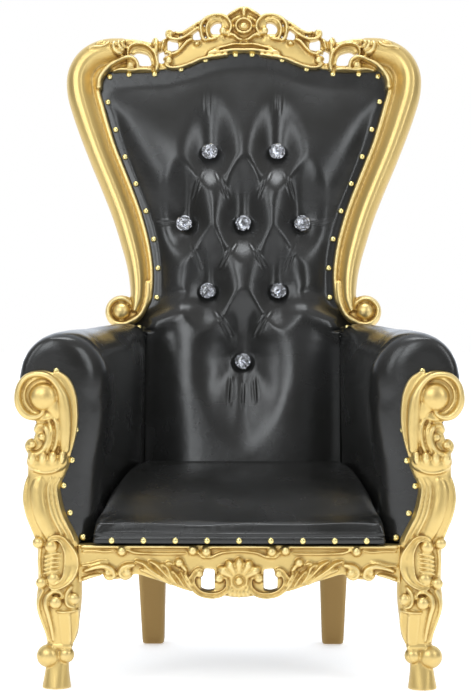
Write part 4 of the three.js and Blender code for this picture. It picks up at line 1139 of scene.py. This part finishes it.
def padHalf(v):
    # half the pad's width: between the arms a fixed one, above them the frame's
    beside = np.interp(v, innerEdge[:, 1], innerEdge[:, 0]) - backPad["gapToFrame"]
    return np.where(v < 291, backPad["lowHalf"], beside)


def padPlan(s, t):
    # s across (-1..1) and t up (0..1) -> x, v on the back
    low, shoulder = 0.6, backPad["shoulder"]
    v = low + (shoulder - low) * np.minimum(1, t / 0.9)
    up = np.clip((t - 0.9) / 0.1, 0, 1)
    half = padHalf(v)
    corner = half + (227 - padHalf(shoulder)) * up + 9 * np.sin(np.pi * up)
    # below the shoulder only the outer columns follow the foot of the frame
    core = 0.9 * np.minimum(corner, padHalf(np.maximum(v, 346)))
    far = np.abs(s)
    x = np.sign(s) * np.where(far < 0.88, far / 0.88 * core, core + (far - 0.88) / 0.12 * (corner - core))
    top = crestUnder(np.abs(x)) - backPad["topGap"]
    return x, np.where(t > 0.9, shoulder + (top - shoulder) * up, v)


def segmentShare(x, v, a, b):
    # share of the way from a to b, signed distance beside the line, and distance past its ends
    a, b = np.asarray(a, float), np.asarray(b, float)
    d = b - a
    long = np.hypot(*d)
    u = ((x - a[0]) * d[0] + (v - a[1]) * d[1]) / long**2
    beside = ((x - a[0]) * d[1] - (v - a[1]) * d[0]) / long
    past = np.maximum(0, np.maximum(-u, u - 1)) * long
    return u, beside, past


def tuftDepth(x, v):
    # a bowl round each button, a raised cosine across it, that narrows upwards and closes sooner below; and
    # round-bottomed valleys between the buttons; joined by the fourth root of the summed fourth powers
    total = np.zeros_like(x)
    for bx, bv in buttonPlaces:
        well = backPad["lowWell" if bv < 300 else "wells"]
        tall = np.where(v > bv, well["above"], well["below"])
        narrowing = np.clip(1 - ((v - bv) / tall) ** 2, 0, 1)
        beside = np.abs(x - bx) / (well["wide"] * (0.3 + 0.7 * narrowing))
        bowl = 0.5 + 0.5 * np.cos(np.pi * np.clip(beside, 0, 1))
        total += (well["deep"] * narrowing ** np.where(v > bv, 1.1, 1.6) * bowl) ** 4
    for a, b, deep, wide in backPad["valleys"]:
        beside, past = segmentShare(x, v, a, b)[1:]
        total += (deep * np.exp(-((np.hypot(beside, past) / wide) ** 1.8))) ** 4
    return total**0.25


def gatherDepth(x, v):
    # short fine folds: a cosine across each line, fading to its sides and its ends
    total = np.zeros_like(x)
    for a, b, deep, spacing, spread in backPad["gathers"]:
        u, beside = segmentShare(x, v, a, b)[:2]
        window = np.sin(np.pi * np.clip(u, 0, 1)) ** 0.7
        total += deep * np.cos(2 * np.pi * beside / spacing) * np.exp(-((beside / spread) ** 2)) * window
    return total


def padForward(x, v, t):
    # thickness: a lip at the nails, then a crown that rises steadily to the middle
    s = backPad
    half = padHalf(np.clip(v, 338, s["shoulder"])) + 10 * ease((t - 0.88) / 0.05)
    low = 1 - ease((v - 280) / 60)  # beside the arms the pad stays full
    fromSide = np.maximum(0, half - np.abs(x)) + 90 * low * ease((half + 8 - np.abs(x)) / 8)
    fromTop = (crestUnder(np.abs(x)) - s["topGap"] - v) * 0.45
    nearest = (np.maximum(fromSide, 1) ** -3.0 + np.maximum(fromTop, 1) ** -3.0) ** (-1 / 3)
    rising = np.clip((nearest - 12) / 84, 0, 1)
    crown = (1 - (1 - rising) ** 2.3) * rising / (rising + 0.14) * 1.14
    lip = 2.0 * np.sqrt(np.clip(nearest / 3, 0, 1))
    sideways = 19 * ease((np.abs(x) - 74) / 78) * (1 - ease((v - 262) / 70))
    return s["edge"] - 2 + lip + s["rise"] * crown - sideways, crown


def innerBack():
    # a grid on the back, pushed forward by the padding and pressed in by the tufting, with a flat rear
    s = backPad
    across = np.linspace(-1, 1, s["across"] + 1)
    up = np.linspace(0, 1, s["up"] + 1)[:, None]
    x, v = padPlan(across[None, :], up)
    forward, crown = padForward(x, v, up)
    tucked = 1 + s["armSlope"] * forward / s["lowHalf"] * (1 - ease((v - 270) / 30))
    front = np.stack([x * tucked, tuftDepth(x, v) * crown - forward, v], axis=-1)
    back = np.linspace(1, -1, 13)
    xb, vb = padPlan(back[None, :], up)
    rear = np.stack([xb, -s["rear"] + 0 * xb, vb], axis=-1)
    return loft(np.concatenate([front, rear], axis=1))


def unleaning(points):
    # the throne's frame -> x, depth, height along the raked back
    c, s = cos(radians(layout["rake"])), sin(radians(layout["rake"]))
    y, z = points[:, 1] - backY, points[:, 2] - layout["railTop"]
    return np.stack([points[:, 0], y * c - z * s, y * s + z * c], axis=1)


def setPoints(mesh, points):
    # puts the mesh's points where the array says
    mesh.vertices.foreach_set("co", np.asarray(points, np.float32).ravel())
    mesh.update()


def plump(piece, held, cap, pressure=4.0):
    # a short cloth simulation fills the piece; held points stay put, and no point moves beyond the cap
    rest = meshPoints(piece.data)
    grip = piece.vertex_groups.new(name="held")
    grip.add(np.flatnonzero(held(rest / mm)).tolist(), 1.0, "REPLACE")
    cloth = piece.modifiers.new("fill", "CLOTH")
    cloth.settings.vertex_group_mass = grip.name
    cloth.settings.use_pressure = True
    cloth.settings.uniform_pressure_force = pressure
    cloth.settings.effector_weights.gravity = 0
    cloth.point_cache.frame_start = 1
    cloth.point_cache.frame_end = 20
    for number in range(1, 21):
        bpy.context.scene.frame_set(number)
    finished(piece)
    piece.vertex_groups.clear()
    # the movement is evened out between neighbours, so only broad swellings stay
    move = relaxed(meshPoints(piece.data) - rest, meshEdges(piece.data), 6)
    far = np.maximum(np.linalg.norm(move, axis=1, keepdims=True), 1e-9)
    print(piece.name, "filled, moved", round(float(far.mean() / mm), 1), "to",
          round(float(far.max() / mm), 1), "mm")
    setPoints(piece.data, rest + move * np.tanh(far / (cap * mm)) * cap * mm / far)
    bpy.context.scene.frame_set(1)


def pad(name, shape, place, node, held=None, cap=8, voxel=None, finer=1, detail=None):
    # an upholstered piece: its form, filled by the simulation, made finer, then given its small folds
    piece = makePiece(name, place(shape[0]), shape[1], leather)
    if voxel:
        evenSkin(piece, voxel, 14)
    if held:
        plump(piece, held, cap)
    smoother = piece.modifiers.new("finer", "SUBSURF")
    smoother.levels = smoother.render_levels = finer
    finished(piece)
    if detail:
        setPoints(piece.data, detail(meshPoints(piece.data) / mm) * mm)
    settle(piece, node)
    print(name, "made:", len(piece.data.polygons), "faces")
    return piece


def heldBack(points):
    # the rear, the nailed edges and the bottoms of the wells
    x, depth, v = unleaning(points).T
    half = padHalf(np.minimum(v, backPad["shoulder"]))
    edge = (np.abs(x) > np.where(v > 338, half - 18, 136)) | (v > crestUnder(np.abs(x)) - 24)
    wells = np.min([np.hypot(x - bx, v - bv) for bx, bv in buttonPlaces], axis=0) < 18
    return (depth > -18) | edge | wells | (v < 30)


def gatherFolds(points):
    # presses the fine folds into the front of the filled pad
    leaned = unleaning(points)
    front = ease((-leaned[:, 1] - 22) / 8)
    leaned[:, 1] += gatherDepth(leaned[:, 0], leaned[:, 2]) * front
    return leaning(leaned)


pad("tufted inner back", innerBack(), leaning, "inner_back", heldBack, 5, None, 2, gatherFolds)


def outerBack():
    # a taut panel, a little crowned, with its edge turned in
    across = np.linspace(-1, 1, 81)
    up = np.linspace(0, 1, 161)[:, None]
    x, v = padPlan(across[None, ::-1] * 0.998, up)
    side = padHalf(np.minimum(v, backPad["shoulder"])) + 8 - np.abs(x)
    edge = np.minimum(side, crestUnder(np.abs(x)) - 4 - v)
    puff = 2.2 * np.sqrt(np.clip(edge / 26, 0, 1))
    rear = np.stack([x, puff - 0.2, v], axis=-1)
    xf, vf = padPlan(np.linspace(-1, 1, 9)[None, :] * 0.998, up)
    front = np.stack([xf, -7.6 + 0 * xf, vf], axis=-1)
    return loft(np.concatenate([rear, front], axis=1))


pad("outer back panel", outerBack(), leaning, "outer_back")

armShape = {
    "start": 14, "length": 371, "railTop": 207,
    "rollZ": 441, "edge": 34, "count": 80,
    # half-widths at the front and at the back
    "base": (208.5, 150.8), "inner": (191, 150.8), "panel": (290, 184), "outer": (320, 222),
    "behindPost": [[207, 228], [250, 240], [290, 248], [330, 236], [370, 228], [425, 232], [446, 244],
                   [460, 262],
                   [475, 290], [485, 420]],
}


def armSection(t, inset):
    # one section across an arm, a roll over a straight side; t runs from its front to the back
    s = armShape
    y = s["start"] + s["length"] * t
    base, inner, panel, outer = (s[key][0] + (s[key][1] - s[key][0]) * t
                                 for key in ("base", "inner", "panel", "outer"))
    base, inner, outer = base + 1.1 * inset, inner + 1.5 * inset, outer - 0.35 * inset
    top = 509 + 2.5 * ease(t / 0.3) - 13 * ease((t - 0.86) / 0.14) - 0.42 * inset
    middle, half = (inner + outer) / 2, (outer - inner) / 2
    a = np.radians(np.linspace(180, -42, 17))
    # the roll's inner shoulder squares up towards the back, to meet the tufted pad
    square = np.where(a > np.pi / 2, 2 / (2 + 5 * ease((t - 0.5) / 0.4)), 1.0)
    rise = (top - s["rollZ"]) * np.where(a < 0, 0.75, 1)
    roll = np.stack([middle + half * np.sign(np.cos(a)) * np.abs(np.cos(a)) ** square,
                     s["rollZ"] + rise * np.sign(np.sin(a)) * np.abs(np.sin(a)) ** square], axis=1)
    side = [[panel + 6, 390], [panel + 1, 372], [panel, 340], [panel, 270], [panel, s["railTop"] + 0.5]]
    line = [[base, s["railTop"] + 0.5], [base - 1, 250], [0.7 * base + 0.3 * inner, 310],
            [0.2 * base + 0.8 * inner, 365], [inner, 410]]
    outline = smoothPath(np.vstack([line, roll, side]), 120)
    lean = np.tan(radians(layout["rake"])) * t**3
    return np.stack([outline[:, 0], y + (outline[:, 1] - s["railTop"]) * lean, outline[:, 1]], axis=1)


def armBody():
    # sections from front to back, the first ones drawn in round a quarter circle
    s = armShape
    turnIn = np.linspace(0, 1, 9)[:-1] * np.pi / 2
    near = [(s["edge"] * (1 - np.cos(k)) / s["length"], s["edge"] * (1 - np.sin(k))) for k in turnIn]
    rest = [(t, 0.0) for t in np.linspace(s["edge"] / s["length"], 0.99, s["count"])]
    return loft(np.stack([armSection(t, inset) for t, inset in near + rest]))


def heldArm(points):
    # the bottom, the rear end, the outside panel and the part of the front that the carved post covers
    x, y, z = np.abs(points[:, 0]), points[:, 1] - frontY, points[:, 2]
    post = np.asarray(armShape["behindPost"], float)
    covered = (y < 34) & (x > np.interp(z, post[:, 0], post[:, 1]))
    return (z < 216) | (y > 350) | covered | (z < 300) & (y > 60)


rightArm = pad("padded arm right", armBody(), standing, "arm_right", heldArm, 4, 5.5)
leftArm = mirrorPiece(rightArm, "padded arm left", "arm_left")

# the seat's depth and height down its middle, from the nailed strip over the front roll to the back
seatProfile = [[6, 207.6], [3.8, 208.2], [2.9, 210.4], [2.7, 213], [3.0, 215.8], [4.4, 217.6], [6.4, 218.4],
               [6.3, 220.2], [5.2, 223], [4.8, 227], [5.2, 231.5], [6.6, 235.6], [9.2, 239], [13, 241.6],
               [18, 243.6], [24, 245.4], [34, 248.4], [50, 254], [70, 261.5], [95, 271], [125, 280.5],
               [165, 290], [210, 297], [255, 300.4], [300, 301], [352, 297]]


def seatBody():
    # the profile is carried across; towards the sides the top falls a little and turns down at the edge
    rows = smoothPath(seatProfile, 720)[np.concatenate([np.arange(0, 144, 2), np.arange(144, 720, 9), [719]])]
    y, z = rows[:, :1], rows[:, 1:]
    across = np.sin(np.linspace(1, -1, 85) * np.pi / 2 * 0.9)[None, :] / np.sin(np.pi / 2 * 0.9)
    wide, narrow = armShape["base"]
    half = wide + (narrow - wide) * (y - armShape["start"]) / armShape["length"] - 2.6
    fromSide = half * (1 - np.abs(across))
    rounding = 6 * (1 - np.sqrt(1 - (1 - np.clip(fromSide / 9, 0, 1)) ** 2))
    rise = np.maximum(z - 219, 0)
    fall = np.minimum(rise, rounding) - 5 * across**2 * np.exp(-(((y - 70) / 45) ** 2))
    back = rounding * (1 - ease((y - 10) / 20)) * 0.7
    top = np.stack([across * half, y + back, z - fall], axis=-1)
    under = np.linspace(-1, 1, 21)[None, :]
    bottom = np.stack([under * half, y + 0 * under, 207.5 + 0 * under * half], axis=-1)
    return loft(np.concatenate([top, bottom], axis=1))


def heldSeat(points):
    # the nailed strip, the bottom and the rear end
    y, z = points[:, 1] - frontY, points[:, 2]
    return (z < 222) | (y > 335)


def seatCreases(points):
    # slight puckers along the front roll, where the leather is drawn over it
    x, y, z = points.T
    near = np.exp(-(((y - frontY - 12) / 9) ** 2)) * ease((z - 224) / 8)
    slow = 0.8 * np.sin(x / 23 + 1) + 0.6 * np.sin(x / 51)
    fine = 0.35 * np.sin(x / 2.1 + 2 * np.sin(x / 17)) * np.exp(-(((x + 20) / 45) ** 2))
    return np.stack([x, y, z + near * (slow + fine)], axis=1)


pad("domed seat", seatBody(), standing, "seat_cushion", heldSeat, 5, None, 1, seatCreases)
print("arms and seat made")


# dome nails
nailShape = {"radius": 4.6, "height": 3.0}


def nails(centres, facing):
    # domes of three rings and a cap, their axes along facing
    c = np.asarray(centres, float)
    f = np.broadcast_to(np.asarray(facing, float), c.shape)
    f = f / np.linalg.norm(f, axis=1, keepdims=True)
    helper = np.where(np.abs(f[:, 2:]) < 0.9, [[0, 0, 1]], [[1, 0, 0]])
    u = np.cross(f, helper)
    u /= np.linalg.norm(u, axis=1, keepdims=True)
    w = np.cross(f, u)
    r, h = nailShape["radius"], nailShape["height"]
    b = np.linspace(0, 2 * np.pi, 12, endpoint=False)
    domes = []
    for centre, axis, side, other in zip(c, f, u, w):
        rings = []
        about = np.cos(b)[:, None] * side + np.sin(b)[:, None] * other
        for wide, high in ((0.9, -0.8), (1, 0), (0.97, 0.3), (0.82, 0.62), (0.5, 0.9), (0.12, 1)):
            rings.append(centre + axis * h * high + r * wide * about)
        domes.append(loft(np.asarray(rings)))
    return domes


edgeLine = np.stack([innerEdge[:, 0] - 7.5, innerEdge[:, 1]], axis=1)
edgeLine = edgeLine[(edgeLine[:, 1] > 338) & (edgeLine[:, 1] < 666)]
sideNails = np.vstack([[[194, 291], [166, 298]], evenly(edgeLine, 8)])
topNails = np.array([[13.4, 743.7], [61.9, 734.9], [101.4, 719.6], [143.9, 711.3], [185.4, 710.8],
                     [216.5, 707]])
x, v = np.vstack([sideNails, sideNails * (-1, 1), topNails, topNails * (-1, 1)]).T
backEdgeNails = np.stack([x, 0 * x - 21.6, v], axis=1)
backNails = nails(leaning(backEdgeNails), leaning([0, -1, 0]) - leaning([0, 0, 0]))

seatNails = [[x, 2.4, 213] for x in np.linspace(-181, 181, 9)]
armNails = [[259.8, 12.4, 453.5], [232.5, 13.6, 370], [238, 13.6, 326.5], [250, 13.2, 290.3],
            [241, 14, 251.4],
            [223, 18, 216.0]]
armNails += [[-x, y, z] for x, y, z in armNails]
frontNails = nails(standing(seatNails + armNails), [0, -1, 0])
allNails = makePiece("dome nails", *gather(backNails + frontNails), brass)
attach(allNails, "root")

# crystal buttons
crystalShape = {"radius": 11.5, "sides": 12, "forward": 39.6}


def cutStone(x, v):
    # rings of facets, each turned half a step from the one before: point, pavilion, girdle, crown, table
    r, n = crystalShape["radius"], crystalShape["sides"]
    rows = []
    for k, (wide, forward) in enumerate(((0.05, 5.4), (0.5, 3.0), (1.0, -0.4), (1.0, -1.2), (0.86, -3.0),
                                         (0.62, -4.6), (0.34, -5.0), (0.05, -5.1))):
        b = (np.arange(n) + 0.5 * (k % 2)) * 2 * np.pi / n
        rows.append(np.stack([x + r * wide * np.cos(b), 0 * b - crystalShape["forward"] + forward,
                              v + r * wide * np.sin(b)], axis=1))
    return loft(np.asarray(rows))


def settingCup(x, v):
    # a small cup whose inside is a star: its radius and depth step in and out from one facet to the next
    b = np.linspace(0, 2 * np.pi, 20, endpoint=False)
    step = np.where(np.arange(20) % 2, 1.0, 0.0)
    rows = []
    for radius, depth, star in ((0.1, -32.8, 0), (8, -33, 0), (10.6, -36.4, 0), (12.3, -38.8, 0),
                                (12.6, -40, 0),
                                (11.9, -40.6, 0), (10.9, -40, 0), (7.4, -37.2, 1), (3.6, -35.8, 1),
                                (0.6, -34.2, 0)):
        wide = radius * (1 - 0.16 * star * step)
        sunk = depth - 1.3 * star * step + 0 * b
        rows.append(np.stack([x + wide * np.cos(b), sunk, v + wide * np.sin(b)], axis=1))
    return loft(np.asarray(rows))


def crystalGlass():
    # clear by plain values on the shader, its polish a little uneven
    material, tree, shader = newMaterial("cut crystal")
    shader.inputs["Base Color"].default_value = (0.97, 0.98, 1.0, 1)
    shader.inputs["Metallic"].default_value = 0.0
    shader.inputs["IOR"].default_value = 1.6
    shader.inputs["Transmission Weight"].default_value = 0.92
    place = objectPlace(tree)
    haze = addNode(tree, "ShaderNodeTexNoise", Vector=place, Scale=300.0)
    rough = addNode(tree, "ShaderNodeMapRange", Value=haze.outputs["Fac"], To_Min=0.02, To_Max=0.08)
    tree.links.new(rough.outputs["Result"], shader.inputs["Roughness"])
    return material


def silverCup():
    # painted glints and dark flecks in its colour, standing in for the sparkle that a cut stone throws back
    material, tree, shader = newMaterial("silver setting")
    place = objectPlace(tree)
    spots = addNode(tree, "ShaderNodeTexVoronoi", Vector=place, Scale=290.0)
    # painted sparkle: flecks from near black to near white
    tone = ramp(tree, spots.outputs["Color"], [(0.25, (0.03, 0.03, 0.035)), (0.42, (0.35, 0.36, 0.39)),
                                               (0.62, (0.95, 0.96, 1.0))])
    rough = addNode(tree, "ShaderNodeMapRange", Value=spots.outputs["Distance"], To_Min=0.1, To_Max=0.25)
    feed(tree, shader, Base_Color=tone.outputs["Color"], Roughness=rough.outputs["Result"])
    shader.inputs["Metallic"].default_value = 1.0
    return material


crystal, silver = crystalGlass(), silverCup()
cups = []
for number, (x, v) in enumerate(buttonPlaces):
    points, faces = cutStone(x, v)
    stone = makePiece(f"crystal stud {number + 1}", leaning(points), faces, crystal, smooth=False)
    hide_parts(f"crystal_button_{number + 1}")
    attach(stone, "root")
    cups.append(settingCup(x, v))
points, faces = gather(cups)
setting = makePiece("silver settings", leaning(points), faces, silver, smooth=False)
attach(setting, "root")

# camera, floor and light
cameraShape = {"side": 51.3, "away": 3300, "height": 609, "down": 2.17, "turn": 0.01705, "lens": 120.2}
view = bpy.data.cameras.new("camera")
view.sensor_fit = "VERTICAL"
view.sensor_height = 36
view.lens = cameraShape["lens"]
view.clip_end = 60
camera = bpy.data.objects.new("camera", view)
camera.location = (cameraShape["side"] * mm, (frontY - cameraShape["away"]) * mm, cameraShape["height"] * mm)
camera.rotation_euler = (radians(90 - cameraShape["down"]), 0, cameraShape["turn"])
bpy.context.scene.collection.objects.link(camera)
bpy.context.scene.camera = camera


def floorPaper():
    # near-white paper that glows a little, so that it meets the background
    material, tree, shader = newMaterial("pale floor")
    place = objectPlace(tree)
    soft = addNode(tree, "ShaderNodeTexNoise", Vector=place, Scale=1.5)
    tone = ramp(tree, soft.outputs["Fac"], [(0.3, (0.93, 0.93, 0.93)), (0.7, (0.95, 0.95, 0.95))])
    feed(tree, shader, Base_Color=tone.outputs["Color"], Emission_Color=tone.outputs["Color"])
    shader.inputs["Emission Strength"].default_value = 0.45
    shader.inputs["Roughness"].default_value = 0.9
    return material


floor = makePiece("floor", [[-9000, -7000, -0.5], [9000, -7000, -0.5], [9000, 12000, -0.5],
                            [-9000, 12000, -0.5]],
                  [[0, 1, 2, 3]], floorPaper(), smooth=False)

world = bpy.data.worlds.new("studio")
bpy.context.scene.world = world
bpy.context.scene.view_settings.view_transform = "Standard"
world.use_nodes = True
sky = world.node_tree
# the room: a dim band at eye level, lighter overhead; the paper behind is seen as white
dome = sky.nodes["Background"]
direction = sky.nodes.new("ShaderNodeTexCoord")
heights = sky.nodes.new("ShaderNodeSeparateXYZ")
sky.links.new(direction.outputs["Generated"], heights.inputs[0])
shade = ramp(sky, heights.outputs["Z"],
             [(0.0, grey(0.22)), (0.2, grey(0.28)), (0.6, grey(0.75)), (1.0, grey(0.9))])
behind = ramp(sky, heights.outputs["Y"], [(0.15, grey(0.0)), (0.6, grey(1.0))])
room = addNode(sky, "ShaderNodeMix", {"data_type": "RGBA"})
sky.links.new(behind.outputs["Color"], room.inputs["Factor"])
sky.links.new(shade.outputs["Color"], room.inputs[6])
room.inputs[7].default_value = (1.45, 1.55, 1.7, 1)
sky.links.new(room.outputs[2], dome.inputs["Color"])
dome.inputs["Strength"].default_value = 0.9
paper = sky.nodes.new("ShaderNodeBackground")
paper.inputs["Color"].default_value = (1, 1, 1, 1)
rays = sky.nodes.new("ShaderNodeLightPath")
blend = sky.nodes.new("ShaderNodeMixShader")
sky.links.new(rays.outputs["Is Camera Ray"], blend.inputs["Fac"])
sky.links.new(dome.outputs["Background"], blend.inputs[1])
sky.links.new(paper.outputs["Background"], blend.inputs[2])
sky.links.new(blend.outputs["Shader"], sky.nodes["World Output"].inputs["Surface"])


def softLight(name, place, target, size, power, colour):
    # a soft box at its place, turned to its target
    lamp = bpy.data.lights.new(name, "AREA")
    lamp.shape = "RECTANGLE"
    lamp.size, lamp.size_y = size
    lamp.energy = power
    lamp.color = colour
    holder = bpy.data.objects.new(name, lamp)
    holder.location = place
    away = Vector(target) - Vector(place)
    holder.rotation_euler = away.to_track_quat("-Z", "Y").to_euler()
    bpy.context.scene.collection.objects.link(holder)


daylight = (0.93, 0.97, 1.0)
softLight("key", (-0.85, -2.9, 1.9), (0, 0.3, 0.7), (0.9, 1.9), 30, daylight)
softLight("left", (-2.3, -2.5, 2.0), (0, 0, 0.5), (0.6, 2.2), 22, daylight)
softLight("right", (2.4, -2.4, 1.8), (0, 0, 0.5), (0.6, 2.2), 24, daylight)
softLight("top", (0, -0.25, 3.0), (0, 0, 0.4), (1.7, 0.5), 30, daylight)
